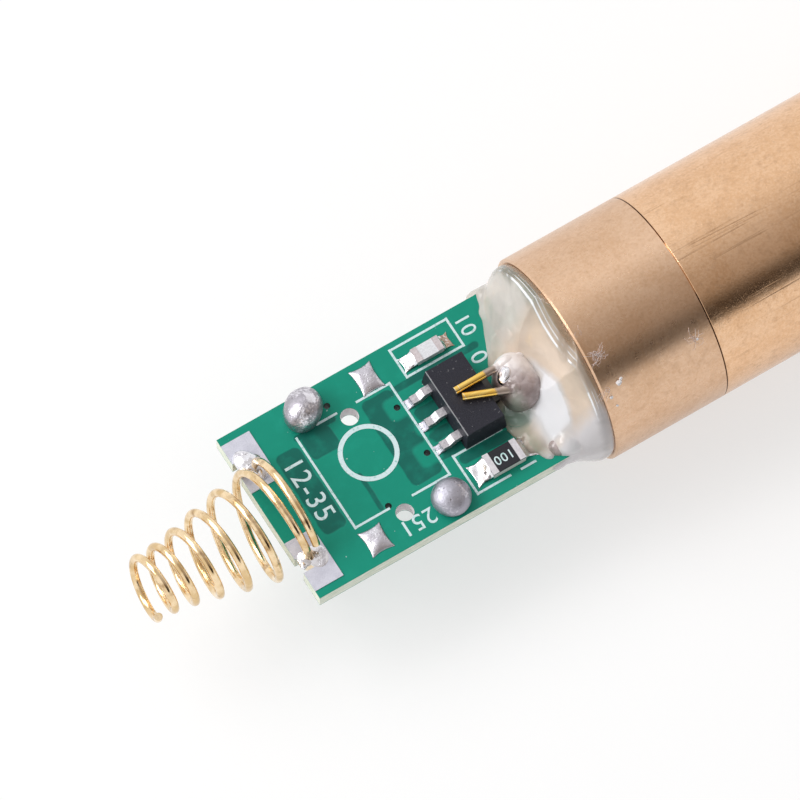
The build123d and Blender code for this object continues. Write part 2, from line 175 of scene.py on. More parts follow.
BRASS = (0.68, 0.435, 0.272, 1)
BRASS_PALE = (0.77, 0.53, 0.365, 1)
TUBE_BRASS = (0.76, 0.465, 0.265, 1)
TUBE_BRASS_PALE = (0.88, 0.585, 0.375, 1)
BRASS_TARNISH = (0.36, 0.20, 0.105, 1)
SEAM_DIRT_AND_SHADE = (0.14, 0.075, 0.04, 1)
SEAM_WIDTH = 0.045
SCRATCH_REAR = -7.6
SCRATCH_FRONT = -2.4
SCRATCH_FADE = 1.0
SCRATCH_SLANT = 0.042
BRASS_RELIEF = 0.007
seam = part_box("front_tube")[0][0] / MM


def brass_finish(name, tones, roughness, streaks, tarnish):
    """Turned brass: cloudy tarnish, specks, fine lines round it and scratches along it."""
    material, tree, place = new_finish(name)
    x, y, z = place.parts()
    clouds = place.grain(0.45, 4.0, 0.6)
    mottle = place.grain(2.6, 6.0)
    fuzz = place.grain(7.0, 6.0)
    specks = place.grain(9.0, 3.0).rise(0.62, 0.74)
    pits = place.grain(13.0, 3.0).rise(0.60, 0.72)
    turning = place.times(16, 0.4, 0.4).grain(1.0, 3.0)
    lines = place.times(0.10, 6.0, 6.0).grain(1.0, 3.0).rise(0.58, 0.72)
    patches = place.grain(0.4, 2.0).rise(0.40, 0.62)
    on_top = z.rise(0.0, 1.0)
    worn = x.rise(SCRATCH_REAR, SCRATCH_REAR + SCRATCH_FADE)
    worn = worn * (1 - x.rise(SCRATCH_FRONT - SCRATCH_FADE, SCRATCH_FRONT))
    slant = y + x * SCRATCH_SLANT
    long_lines = (slant.near(-0.47, 0.045) + slant.near(-0.66, 0.04) * 0.6) * worn * on_top
    scratches = (lines * patches + long_lines) * streaks
    tone = (clouds * 0.45 + fuzz * 0.55).rise(0.34, 0.66).colour(*tones)
    dull = mottle.rise(0.46, 0.78) * tarnish + specks * 0.18 + pits * 0.22 + scratches * 0.55
    # The seam's dark line is dirt and painted shade in its groove. It is left off a strip on top, where the
    # seam catches the light.
    lit_strip = y.rise(-2.6, -2.2) * (1 - y.rise(0.4, 0.8)) * on_top * 0.85
    seam_dirt_and_shade = x.near(seam, SEAM_WIDTH) * (1 - lit_strip)
    stained = dull.lesser(1.0).colour(tone, BRASS_TARNISH)
    height = turning * 0.3 + mottle * 0.3 + fuzz * 0.7 - pits * 0.4 - specks * 0.3 - scratches
    close_finish(
        tree,
        {
            "Base Color": seam_dirt_and_shade.colour(stained, SEAM_DIRT_AND_SHADE),
            "Metallic": 1.0,
            "Roughness": mottle * 0.14 + scratches * 0.10 + roughness,
            "Normal": height.relief(BRASS_RELIEF, 0.55),
        },
    )
    return material


brass_tones = (BRASS, BRASS_PALE)
tube_tones = (TUBE_BRASS, TUBE_BRASS_PALE)
dress("diode_holder", brass_finish("matt_brass", brass_tones, roughness=0.22, streaks=0.1, tarnish=0.22))
dress("front_tube", brass_finish("polished_brass", tube_tones, roughness=0.14, streaks=0.8, tarnish=0.26))


# Lens cell, lens ring and lens: the cell is a plain brass sleeve bonded in the
# front pocket, the ring is black anodised aluminium, and the lens is crown glass.
ANODISED = (0.012, 0.012, 0.014, 1)
ANODISED_PALE = (0.035, 0.034, 0.036, 1)
CROWN_GLASS_IOR = 1.517
dress("lens_cell", brass_finish("cell_brass", brass_tones, roughness=0.28, streaks=0.2, tarnish=0.25))

material, tree, place = new_finish("black_anodised")
fine = place.grain(18.0, 3.0)
close_finish(
    tree,
    {
        "Base Color": fine.colour(ANODISED, ANODISED_PALE),
        "Metallic": 0.6,
        "Roughness": fine * 0.2 + 0.38,
        "Normal": fine.relief(0.004, 0.5),
    },
)
dress("lens_ring", material)


def glass_finish(name, tint, roughness):
    """Clear glass with a faint breath of dust on it."""
    material, tree, place = new_finish(name)
    dust = place.grain(9.0, 4.0).rise(0.62, 0.85)
    close_finish(
        tree,
        {
            "Base Color": tint,
            "Roughness": dust * 0.25 + roughness,
            "IOR": CROWN_GLASS_IOR,
            "Transmission Weight": 1.0,
        },
    )
    return material


dress("lens", glass_finish("crown_glass", tint=(0.97, 0.99, 0.98, 1), roughness=0.01))


# Diode: a gold-plated header with glass-sealed leads, a laser chip on its post,
# and a drawn steel cap welded on, with a small glass window in its front.
def metal_finish(name, low, high, roughness, scale, depth_mm):
    """Plated metal: two tones of one colour, with a fine grain."""
    material, tree, place = new_finish(name)
    patches = place.grain(scale * 0.2, 3.0)
    fine = place.grain(scale, 3.0)
    close_finish(
        tree,
        {
            "Base Color": (patches * 0.6 + fine * 0.4).rise(0.3, 0.7).colour(low, high),
            "Metallic": 1.0,
            "Roughness": fine * 0.18 + roughness,
            "Normal": fine.relief(depth_mm, 0.6),
        },
    )
    return material


# The diode's bright pieces: two tones, the roughness, the grain's scale and its depth.
diode_looks = {
    "diode_header": ("header_gold", (0.62, 0.40, 0.12, 1), (0.80, 0.56, 0.22, 1), 0.16, 12, 0.004),
    "diode_cap": ("cap_steel", (0.50, 0.47, 0.42, 1), (0.66, 0.63, 0.58, 1), 0.2, 12, 0.004),
    "laser_chip": ("chip_crystal", (0.10, 0.10, 0.11, 1), (0.2, 0.2, 0.22, 1), 0.2, 20, 0.002),
}
for node, look in diode_looks.items():
    dress(node, metal_finish(*look))
dress("diode_window", glass_finish("window_glass", tint=(0.96, 0.98, 0.99, 1), roughness=0.01))
dress("lead_seals", glass_finish("seal_glass", tint=(0.62, 0.72, 0.66, 1), roughness=0.05))


# Circuit board: glass laminate with copper under a green solder mask. The mask is
# lighter where copper lies under it. The edges show the bare, pale, routed laminate.
MASK_OVER_COPPER = (0.004, 0.262, 0.178, 1)
MASK_OVER_LAMINATE = (0.003, 0.125, 0.095, 1)
MASK_THIN = (0.010, 0.34, 0.24, 1)
LAMINATE = (0.84, 0.85, 0.76, 1)
LAMINATE_DARK = (0.60, 0.68, 0.54, 1)
LIT_HOLE_WALL = (0.78, 0.74, 0.76, 1)
SHADED_VIA_WALL = (0.004, 0.03, 0.025, 1)
DUST = (0.55, 0.72, 0.68, 1)
COPPER_STEP = 0.05
COPPER_CORNER = 0.32

# Bare areas and copper lands: rear end, front end, lower side and upper side, in
# millimetres from the board's rear edge and from its middle line.
bare_areas = [
    (2.05, 3.45, -2.4, 2.75),
    (3.75, 5.45, 1.5, 3.0),
    (3.5, 6.0, 2.9, 3.25),
    (5.25, 5.5, -2.7, -0.3),
    (7.45, 9.3, -2.45, 3.0),
    (9.3, 12.6, -1.95, -1.3),
    (9.6, 12.6, -0.9, -0.25),
    (9.6, 12.6, 0.45, 1.25),
    (9.3, 14.6, 2.55, 2.95),
    (10.3, 13.4, -2.75, -2.15),
]
lands = [(8.45, 9.7, 1.2, 2.45), (8.45, 9.7, -1.85, -0.55), (9.2, 10.2, -0.25, 0.45)]
via_spots = [(5.95, 3.85), (5.75, -2.65), (9.05, 1.85), (9.05, -1.15)]
VIA_REACH = 0.24
peg_spots = [(6.65, 2.7), (6.3, -3.4)]
PEG_REACH = 0.56
board_low, board_high = [Vector(corner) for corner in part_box("circuit_board")]
board_top = board_high.z
board_thickness = (board_high.z - board_low.z) / MM
MASK_SKIN = 0.03
MASK_RELIEF = 0.02


def inside(x, y, area, edge):
    """1 inside a round-cornered box on the board, 0 outside, with an edge of the given width."""
    rear, front, low, high = area
    corner = min(COPPER_CORNER, (front - rear) / 2, (high - low) / 2)
    past_x = (abs(x - (rear + front) / 2) - (front - rear) / 2 + corner).greater(0.0)
    past_y = (abs(y - (low + high) / 2) - (high - low) / 2 + corner).greater(0.0)
    reach = past_x * past_x + past_y * past_y
    return 1 - reach.rise(max(corner - edge, 0) ** 2, (corner + edge) ** 2)


def any_of(shares):
    """The greatest of several shares."""
    most = shares[0]
    for share in shares[1:]:
        most = most.greater(share)
    return most


def round_spot(x, y, spot, radius, edge=0.06):
    """1 inside a round spot on the board, 0 outside, with its edge a share of its area."""
    along = x - spot[0]
    across = y - spot[1]
    return 1 - (along * along + across * across).rise(radius**2 * (1 - edge), radius**2)


def board_place(place):
    """Millimetres along the board from its rear edge, across it, and up from its top."""
    x, y, z = place.parts()
    return x - board_low.x / MM, y, z - board_top / MM


material, tree, place = new_finish("green_board")
along, across, up = board_place(place)
wander = place.grain(1.1, 2.0) * 0.16 - 0.08
bare = any_of([inside(along + wander, across + wander, area, COPPER_STEP) for area in bare_areas])
bare = bare * (1 - any_of([inside(along, across, area, COPPER_STEP * 3) for area in lands]))
half = board_thickness / 2
on_face = abs(up + half).rise(half - 2 * MASK_SKIN, half - MASK_SKIN)
ripple = place.grain(1.3, 4.0)
weave = place.times(1.2, 9.0, 1.0).grain(1.0, 1.0) * place.times(9.0, 1.2, 1.0).grain(1.0, 1.0)
dust = place.grain(3.4, 2.0).rise(0.745, 0.765)
mask_tone = bare.colour(MASK_OVER_COPPER, MASK_OVER_LAMINATE)
mask_tone = (ripple.rise(0.45, 0.8) * 0.3).colour(mask_tone, MASK_THIN)
mask_tone = (dust * 0.6).colour(mask_tone, DUST)
layers = place.times(1.5, 1.5, 16.0).grain(1.0, 3.0)
cut_tone = layers.rise(0.35, 0.65).colour(LAMINATE_DARK, LAMINATE)
# Painted shade: the via holes' walls are near black.
in_via = any_of([round_spot(along, across, spot, VIA_REACH) for spot in via_spots])
# Painted light: the peg holes' walls are pale, as if lit through the holes from the table below.
in_peg = any_of([round_spot(along, across, spot, PEG_REACH) for spot in peg_spots])
cut_tone = in_via.colour(in_peg.colour(cut_tone, LIT_HOLE_WALL), SHADED_VIA_WALL)
close_finish(
    tree,
    {
        "Base Color": on_face.colour(cut_tone, mask_tone),
        "Roughness": 0.44 - on_face * 0.12 + ripple * 0.1,
        "Specular IOR Level": 0.22,
        "Normal": ((1 - bare) * 0.8 + weave * 0.4 + layers * 0.2 + dust * 0.5).relief(MASK_RELIEF, 0.6),
    },
)
dress("circuit_board", material)


# Board print: white ink for the switch's outline and its round knob, the boxes
# round the chips, and plain numbers. It is screened on in a layer of its own.
INK = (0.66, 0.80, 0.82, 1)
INK_WORN = (0.30, 0.56, 0.52, 1)
INK_HEIGHT = 0.012
BOARD_SINK = 0.004
INK_SPREAD = 0.004
LINE = 0.13
NUMBER_GAP = 1.1
NUMBER_LEVEL = 0.004


class Shape:
    """Vertices and faces that are gathered before they become one piece."""

    def __init__(self):
        self.vertices = []
        self.faces = []

    def ring(self, points):
        """Add points and return their numbers."""
        start = len(self.vertices)
        self.vertices.extend(Vector(point) for point in points)
        return list(range(start, len(self.vertices)))

    def bridge(self, first, second):
        """Join two closed rings of the same count with four-sided faces."""
        count = len(first)
        for i in range(count):
            j = (i + 1) % count
            self.faces.append((first[i], first[j], second[j], second[i]))

    def tube(self, rings):
        """Join closed rings in turn and close both ends."""
        numbers = [self.ring(points) for points in rings]
        self.faces.append(tuple(reversed(numbers[0])))
        for first, second in zip(numbers, numbers[1:]):
            self.bridge(first, second)
        self.faces.append(tuple(numbers[-1]))

    def slab(self, outline, low, high):
        """A flat plate with the given outline on the board, from a low to a high level."""
        self.tube([[on_board(x, y, level) for x, y in outline] for level in (low, high)])

    def sheet(self, rows):
        """A solid whose top is a grid of points, with its rim let down to the board."""
        numbers = [self.ring(row) for row in rows]
        for first, second in zip(numbers, numbers[1:]):
            for j in range(len(first) - 1):
                self.faces.append((first[j], second[j], second[j + 1], first[j + 1]))
        rim = [row[0] for row in numbers[:-1]] + numbers[-1][:-1]
        rim += [row[-1] for row in numbers[:0:-1]] + numbers[0][:0:-1]
        foot = self.ring([(self.vertices[k].x, self.vertices[k].y, board_top - BOARD_SINK * MM) for k in rim])
        self.bridge(foot, rim)
        self.faces.append(tuple(reversed(foot)))

    def mesh(self, name):
        """What is gathered, as a mesh."""
        mesh = bpy.data.meshes.new(name)
        mesh.from_pydata([tuple(point) for point in self.vertices], [], self.faces)
        mesh.update()
        return mesh

    def piece(self, name, material, slot, smooth=True):
        """Make the piece, which rides on the module and takes the given finish. The slot is not used."""
        return finish_piece(name, self.mesh(name), material, smooth)


def placed(name, data):
    """A new object in the scene."""
    made = bpy.data.objects.new(name, data)
    bpy.context.scene.collection.objects.link(made)
    return made


def finish_piece(name, mesh, material, smooth):
    """Turn a mesh into a piece that rides on the module."""
    cover(mesh, material)
    for face in mesh.polygons:
        face.use_smooth = smooth
    piece = placed(name, mesh)
    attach(piece, "root")
    return piece


def on_board(along, across, up=0.0):
    """A point in metres, from millimetres along the board, across it and above its top."""
    return Vector((board_low.x + along * MM, across * MM, board_top + up * MM))


material, tree, place = new_finish("white_ink")
worn = place.grain(5.0, 4.0)
close_finish(
    tree,
    {
        "Base Color": worn.rise(0.28, 0.46).colour(INK_WORN, INK),
        "Roughness": worn * 0.2 + 0.45,
        "Specular IOR Level": 0.3,
        "Normal": worn.relief(0.006, 0.5),
    },
)
white_ink = material

# Printed lines: start and end of each, along the board and across it.
printed_lines = [
    (3.63, 3.15, 3.63, -2.88),
    (3.70, -2.80, 5.75, -2.80),
    (7.10, -2.80, 9.35, -2.80),
    (9.42, 3.30, 9.42, -2.88),
    (4.90, 3.22, 6.20, 3.22),
    (7.35, 3.22, 9.35, 3.22),
    (10.40, 2.97, 10.40, 4.88),
    (13.90, 2.97, 13.90, 4.88),
    (10.47, 3.05, 13.83, 3.05),
    (10.47, 4.80, 13.83, 4.80),
    (10.10, -1.97, 10.10, -4.58),
    (10.17, -2.05, 13.10, -2.05),
    (10.17, -4.50, 12.15, -4.50),
    (12.75, -4.50, 13.70, -4.50),
]
KNOB_SPOT = (6.44, 0.45)
KNOB_OUTER = 1.62
KNOB_INNER = 1.36
KNOB_STEPS = 96
prints = Shape()
for x0, y0, x1, y1 in printed_lines:
    side_x = LINE / 2 if x0 == x1 else 0.0
    side_y = LINE / 2 if y0 == y1 else 0.0
    low_x, high_x = min(x0, x1) - side_x, max(x0, x1) + side_x
    low_y, high_y = min(y0, y1) - side_y, max(y0, y1) + side_y
    corners = [(low_x, low_y), (high_x, low_y), (high_x, high_y), (low_x, high_y)]
    prints.slab(corners, -BOARD_SINK, INK_HEIGHT)


def round_angles(steps):
    """Angles in even steps round a circle."""
    return [tau * i / steps for i in range(steps)]


def circle(radius, level, spot, steps):
    """Points round a spot on the board."""
    x, y = spot
    return [on_board(x + radius * cos(a), y + radius * sin(a), level) for a in round_angles(steps)]


knob_sides = [
    (KNOB_OUTER, -BOARD_SINK),
    (KNOB_OUTER, INK_HEIGHT),
    (KNOB_INNER, INK_HEIGHT),
    (KNOB_INNER, -BOARD_SINK),
]
knob_rings = [prints.ring(circle(radius, level, KNOB_SPOT, KNOB_STEPS)) for radius, level in knob_sides]
for first, second in zip(knob_rings, knob_rings[1:] + knob_rings[:1]):
    prints.bridge(first, second)
prints.piece("board_print", white_ink, "board_green", smooth=False)


def worked_out(rough):
    """The mesh that an object comes to with its modifiers. The object itself goes."""
    shown = rough.evaluated_get(bpy.context.evaluated_depsgraph_get())
    mesh = bpy.data.meshes.new_from_object(shown)
    bpy.data.objects.remove(rough)
    return mesh


def printed_number(name, text, spot, size, turn, level, slot):
    """Plain printed figures that lie flat at a spot, turned by so many degrees."""
    words = bpy.data.curves.new(name + "_outline", "FONT")
    words.body = text
    words.size = size * MM
    words.align_x = "CENTER"
    words.align_y = "CENTER"
    words.extrude = INK_HEIGHT * MM / 2
    words.offset = INK_SPREAD * MM
    words.space_character = NUMBER_GAP
    mesh = worked_out(placed(name + "_outline", words))
    mesh.transform(Matrix.Translation(on_board(*spot, level)) @ Matrix.Rotation(radians(turn), 4, "Z"))
    finish_piece(name, mesh, white_ink, smooth=False)


# The board's numbers: figures, place along and across, height of the figures and turn.
board_numbers = [
    ("strip_numbers", "12-35", (2.65, 0.3), 1.55, -90),
    ("switch_number", "251", (6.6, -4.2), 1.3, 180),
    ("chip_number", "10", (14.55, 4.0), 1.2, -90),
    ("foot_number", "0", (14.2, 2.05), 1.3, -90),
]
for number in board_numbers:
    printed_number(*number, NUMBER_LEVEL, "board_green")


# Contact pads: copper at the rear edge, tinned by hot air and gone dull. The two
# pads lie round the spring's slots.
DULL_TIN = (0.52, 0.52, 0.60, 1)
DULL_TIN_PALE = (0.66, 0.66, 0.74, 1)
material, tree, place = new_finish("dull_tin")
fine = place.grain(14.0, 4.0)
patches = place.grain(1.8, 3.0)
tin_share = (fine * 0.5 + patches * 0.5).rise(0.3, 0.7)
close_finish(
    tree,
    {
        "Base Color": tin_share.colour(DULL_TIN, DULL_TIN_PALE),
        "Metallic": 0.55,
        "Roughness": fine * 0.15 + 0.42,
        "Normal": (fine * 0.6 + patches * 0.4).relief(0.012, 0.8),
    },
)
dress("contact_pads", material)


# Switch pads: square lands with a thin pool of set solder, whose sides draw in
# between the corners. The same solder joins the chips, where burnt flux has left two
# dark spots and a little copper shows.
FLUX = (0.10, 0.085, 0.08, 1)
flux_spots = [(10.89, -3.97), (10.84, 3.24)]
FLUX_REACH = 0.26
COPPER_SHOWS = (0.50, 0.31, 0.20, 1)
copper_area = (12.95, 14.2, 3.1, 4.7)
SOLDER_RELIEF = 0.03
POOL_RIM = 0.03


def solder_finish(name, tones, frost, depth, roughness):
    """Set solder: a bright skin with a share of frosted patches, pits and dark flux specks."""
    material, tree, place = new_finish(name)
    broad = place.grain(1.1, 3.0, 0.8)
    fine = place.grain(9.0, 5.0)
    specks = place.grain(6.0, 2.0).rise(0.66, 0.76)
    along, across = board_place(place)[:2]
    along = along + (fine - 0.5) * 0.7
    burnt = any_of([round_spot(along, across, spot, FLUX_REACH) for spot in flux_spots])
    frosted = (broad * 0.6 + fine * 0.4).rise(0.62 - frost * 0.4, 0.72 - frost * 0.35)
    copper = inside(along, across, copper_area, 0.12) * fine.rise(0.34, 0.52) * 0.8
    tone = copper.colour(frosted.colour(*tones), COPPER_SHOWS)
    close_finish(
        tree,
        {
            "Base Color": (specks * 0.7).greater(burnt * 0.85).colour(tone, FLUX),
            "Metallic": 1.0,
            "Roughness": frosted * 0.22 + fine * 0.08 + roughness,
            "Normal": (broad * 0.5 + fine * frosted * depth - specks * 0.6).relief(SOLDER_RELIEF, 0.55),
        },
    )
    return material


pad_tones = ((0.74, 0.73, 0.78, 1), (0.52, 0.50, 0.55, 1))
pad_solder = solder_finish("pad_solder", pad_tones, frost=0.5, depth=0.45, roughness=0.14)

NOISE_SEED = 5
noise.seed_set(NOISE_SEED)


def wobble(point, scale, amount):
    """A small shift of a point along each axis, the same on every run."""
    return noise.noise_vector(Vector(point) * scale / MM) * amount * MM


def pool(shape, spot, half_x, half_y, height, bow, steps=20):
    """A thin pool of solder on a square land, with hollow sides and pointed corners."""
    rows = []
    for i in range(steps + 1):
        u = 2 * i / steps - 1
        row = []
        for j in range(steps + 1):
            v = 2 * j / steps - 1
            x = spot[0] + half_x * u * (1 - bow * (1 - v * v))
            y = spot[1] + half_y * v * (1 - bow * (1 - u * u))
            crown = (1 - abs(u) ** 2.5) * (1 - abs(v) ** 2.5)
            point = on_board(x, y, POOL_RIM + height * crown**0.7)
            row.append(point + wobble(point, 1.5, 0.05) * crown)
        rows.append(row)
    shape.sheet(rows)


pools = Shape()
pool(pools, (8.53, 4.05), half_x=0.66, half_y=0.82, height=0.16, bow=0.11)
pool(pools, (4.2, -3.95), half_x=0.67, half_y=0.79, height=0.16, bow=0.12)
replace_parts(pools.piece("switch_pools", pad_solder, "pad_tin"), "switch_pads")


# Solder domes: two large drops left on the switch's through-holes, the rear one
# bright and oval, the front one round and grey.
DROP_UNDERCUT = radians(-26)
DROP_CROWN = radians(89.55)


def drop(shape, spot, half_x, half_y, height, rough, turn=0.0, foot=0.0, rings=28, steps=56):
    """A standing drop of solder: round, swelling past its foot, with an uneven skin."""
    levels = []
    for i in range(rings + 1):
        angle = DROP_UNDERCUT + (DROP_CROWN - DROP_UNDERCUT) * i / rings
        level = (sin(angle) - sin(DROP_UNDERCUT)) / (1 - sin(DROP_UNDERCUT))
        ring = []
        for a in round_angles(steps):
            side_x = half_x * cos(angle) * cos(a)
            side_y = half_y * cos(angle) * sin(a)
            x = spot[0] + side_x * cos(turn) - side_y * sin(turn)
            y = spot[1] + side_x * sin(turn) + side_y * cos(turn)
            point = on_board(x, y, foot + height * level)
            ring.append(point + wobble(point, 0.9, rough * 2) + wobble(point, 3.5, rough * 0.6))
        levels.append(ring)
    shape.tube(levels)


rear_tones = ((0.80, 0.78, 0.83, 1), (0.40, 0.38, 0.42, 1))
rear_solder = solder_finish("rear_solder", rear_tones, frost=0.55, depth=0.7, roughness=0.17)
rear_dome = Shape()
drop(rear_dome, (4.68, 4.15), half_x=1.24, half_y=1.05, height=1.5, rough=0.035, turn=radians(35))
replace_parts(rear_dome.piece("rear_dome", rear_solder, "solder"), "solder_domes")
front_tones = ((0.60, 0.59, 0.65, 1), (0.41, 0.40, 0.455, 1))
front_solder = solder_finish("front_solder", front_tones, frost=0.68, depth=1.1, roughness=0.24)
front_dome = Shape()
drop(front_dome, (8.75, -4.05), half_x=1.08, half_y=1.08, height=1.18, rough=0.02)
front_dome.piece("front_dome", front_solder, "solder")


# Battery spring: hard-drawn wire, wound to a cone on a mandrel and gold plated. Its
# last seated turn threads the board's slots and is soldered to the two pads.
SPRING_GOLD = (0.73, 0.52, 0.27, 1)
SPRING_GOLD_PALE = (0.94, 0.74, 0.48, 1)
SPRING_STAIN = (0.32, 0.16, 0.06, 1)
PAD_LEVEL = 0.04

material, tree, place = new_finish("spring_gold")
fine = place.grain(16.0, 4.0)
patches = place.grain(1.3, 3.0)
stain = place.grain(1.9, 3.0).rise(0.52, 0.80)
gold = patches.rise(0.35, 0.65).colour(SPRING_GOLD, SPRING_GOLD_PALE)
close_finish(
    tree,
    {
        "Base Color": (stain * 0.7).colour(gold, SPRING_STAIN),
        "Metallic": 1.0,
        "Roughness": fine * 0.12 + 0.07,
        "Normal": fine.relief(0.006, 0.6),
    },
)
dress("battery_spring", material)

bright_tones = ((0.84, 0.83, 0.87, 1), (0.56, 0.54, 0.58, 1))
bright_solder = solder_finish("bright_solder", bright_tones, frost=0.25, depth=0.45, roughness=0.12)

# The drops on the wire: spot, half sizes, height and unevenness of each, its turn in
# degrees, and how far its foot sinks into the pad.
spring_drops = [
    ((0.72, 3.2), 0.62, 0.95, 0.42, 0.05, 25, 0.0),
    ((1.05, 2.55), 0.35, 0.55, 0.30, 0.05, 0, 0.0),
    ((1.10, -3.12), 0.58, 0.66, 0.08, 0.015, 0, 0.02),
    ((0.45, -2.95), 0.40, 0.46, 0.18, 0.06, 0, 0.05),
    ((0.22, -3.2), 0.20, 0.24, 0.24, 0.06, 0, 0.1),
]
spring_joints = Shape()
for *form, turn, sunk in spring_drops:
    drop(spring_joints, *form, turn=radians(turn), foot=PAD_LEVEL - sunk)
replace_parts(spring_joints.piece("spring_joints", bright_solder, "solder"), "spring_solder")


# Driver transistor: black moulded body with drafted sides on a copper tab, and
# three bent, tinned legs soldered to the board.
def eased_edges(piece, width_mm, angle=35):
    """Round off a piece's sharp edges a little, as moulding and plating do."""
    flat = piece.modifiers.new("join_flats", "DECIMATE")
    flat.decimate_type = "DISSOLVE"
    flat.angle_limit = radians(1)
    bevel = piece.modifiers.new("eased_edges", "BEVEL")
    bevel.width = width_mm * MM
    bevel.segments = 3
    bevel.limit_method = "ANGLE"
    bevel.angle_limit = radians(angle)
    bevel.harden_normals = True


def board_box(node):
    """A node's rear, front, middle line, half width and top, in millimetres on the board."""
    low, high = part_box(node)
    rear, front = [(corner[0] - board_low.x) / MM for corner in (low, high)]
    half_width = (high[1] - low[1]) / 2 / MM
    return rear, front, (low[1] + high[1]) / 2 / MM, half_width, (high[2] - board_top) / MM


body_rear, body_front, body_middle, _, body_top = board_box("transistor_body")
EDGE_INSET = 0.13
EDGE_HIGHLIGHT_WIDTH = 0.055
EPOXY = (0.012, 0.012, 0.019, 1)
EPOXY_PALE = (0.028, 0.028, 0.040, 1)
EPOXY_DUST_AND_HIGHLIGHT = (0.45, 0.45, 0.47, 1)

material, tree, place = new_finish("black_moulding")
along, _, up = board_place(place)
fine = place.grain(22.0, 3.0)
dust = place.grain(5.0, 3.0).rise(0.66, 0.72)
# A thin pale line along the body's rear top edge is a painted highlight; it takes the dust's pale colour.
on_lit_edge = along.near(body_rear + EDGE_INSET, EDGE_HIGHLIGHT_WIDTH) * up.rise(body_top - 0.09, body_top - 0.04)
edge = on_lit_edge * (fine * 0.5 + 0.45)
epoxy = fine.rise(0.3, 0.7).colour(EPOXY, EPOXY_PALE)
close_finish(
    tree,
    {
        "Base Color": (dust * 0.22 + edge).lesser(1.0).colour(epoxy, EPOXY_DUST_AND_HIGHLIGHT),
        "Roughness": fine * 0.2 + 0.42,
        "Specular IOR Level": 0.25,
        "Normal": (fine + dust).relief(0.012, 0.6),
    },
)
dress("transistor_body", material)
eased_edges(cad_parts["transistor_body"], 0.07)

LEG_PITCH = 1.5
LEG_REACH = 1.04
LEG_TIN = (0.47, 0.45, 0.48, 1)
LEG_TIN_PALE = (0.64, 0.61, 0.64, 1)
TAB_SHADE = (0.07, 0.065, 0.06, 1)
material, tree, place = new_finish("tinned_legs")
along = board_place(place)[0]
fine = place.grain(8.0, 3.0)
tab = along.rise(body_front - 0.3, body_front - 0.1)
tin = fine.rise(0.3, 0.7).colour(LEG_TIN, LEG_TIN_PALE)
close_finish(
    tree,
    {
        "Base Color": tab.colour(tin, TAB_SHADE),
        "Metallic": 0.85,
        "Roughness": fine * 0.18 + 0.32,
        "Normal": fine.relief(0.014, 0.6),
    },
)
dress("transistor_legs", material)
eased_edges(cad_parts["transistor_legs"], 0.10, angle=25)

FILLET_RIM = 0.035
FOOT_LENGTH = 0.42
FOOT_HALF_WIDTH = 0.27
FOOT_HEIGHT = 0.30


def fillet(shape, end, across, direction, length, half_width, height, bow=0.16, steps=18):
    """A hollow solder fillet that runs from a metal end down to a wider toe."""
    rows = []
    for i in range(steps + 1):
        u = i / steps
        row = []
        for j in range(steps + 1):
            v = 2 * j / steps - 1
            reach = length * u * (1 - 0.14 * (1 - v * v))
            half = half_width * (1 - bow * sin(pi * u) + 0.10 * u)
            level = FILLET_RIM + height * (1 - u) ** 2.0 * (1 - 0.3 * v * v)
            point = on_board(end + direction * reach, across + half * v, level)
            row.append(point + wobble(point, 2.2, 0.05) * min(1.0, 4 * u))
        rows.append(row if direction < 0 else row[::-1])
    shape.sheet(rows)


foot_joints = Shape()
foot_end = body_rear - LEG_REACH
for step in (-1, 0, 1):
    leg = body_middle + step * LEG_PITCH
    fillet(foot_joints, foot_end, leg, -1, FOOT_LENGTH, FOOT_HALF_WIDTH, FOOT_HEIGHT, bow=0.05, steps=10)
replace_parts(foot_joints.piece("foot_joints", front_solder, "solder"), "foot_solder")


# Chips: a resistor with a black glazed top, and a small pale chip. Each has tinned
# end caps and stands in hollow solder fillets.
CAP_OVERLAP = 0.02
FRONT_FILLET_SHARE = 0.8
CERAMIC = (0.62, 0.60, 0.58, 1)
CERAMIC_PALE = (0.75, 0.73, 0.70, 1)
GLAZE = (0.010, 0.010, 0.015, 1)
GLAZE_PALE = (0.026, 0.026, 0.034, 1)
SMALL_CHIP = (0.70, 0.70, 0.73, 1)
SMALL_CHIP_PALE = (0.82, 0.83, 0.86, 1)
CAP_TIN = (0.62, 0.60, 0.64, 1)
CAP_TIN_PALE = (0.80, 0.78, 0.82, 1)
WORN_TIN = (0.50, 0.44, 0.45, 1)
WORN_TIN_PALE = (0.72, 0.66, 0.68, 1)

material, tree, place = new_finish("black_glaze")
z = place.parts()[2]
chip_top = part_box("resistor_body")[1][2] / MM
fine = place.grain(15.0, 3.0)
glazed = z.rise(chip_top - 0.10, chip_top - 0.06)
ceramic = fine.colour(CERAMIC, CERAMIC_PALE)
glaze = fine.colour(GLAZE, GLAZE_PALE)
close_finish(
    tree,
    {
        "Base Color": glazed.colour(ceramic, glaze),
        "Roughness": fine * 0.15 + 0.30,
        "Specular IOR Level": 0.3,
        "Normal": fine.relief(0.006, 0.5),
    },
)
dress("resistor_body", material)
cap_tin = metal_finish("cap_tin", CAP_TIN, CAP_TIN_PALE, roughness=0.26, scale=10.0, depth_mm=0.012)
dress("resistor_caps", cap_tin)


def chip_joints(name, node, length, height):
    """Both fillets of a chip part, sized from its caps."""
    rear, front, middle, half_width, _ = board_box(node)
    joints = Shape()
    fillet(joints, rear + CAP_OVERLAP, middle, -1, length, half_width, height)
    fillet(joints, front - CAP_OVERLAP, middle, 1, length * FRONT_FILLET_SHARE, half_width, height)
    return joints.piece(name, bright_solder, "solder")


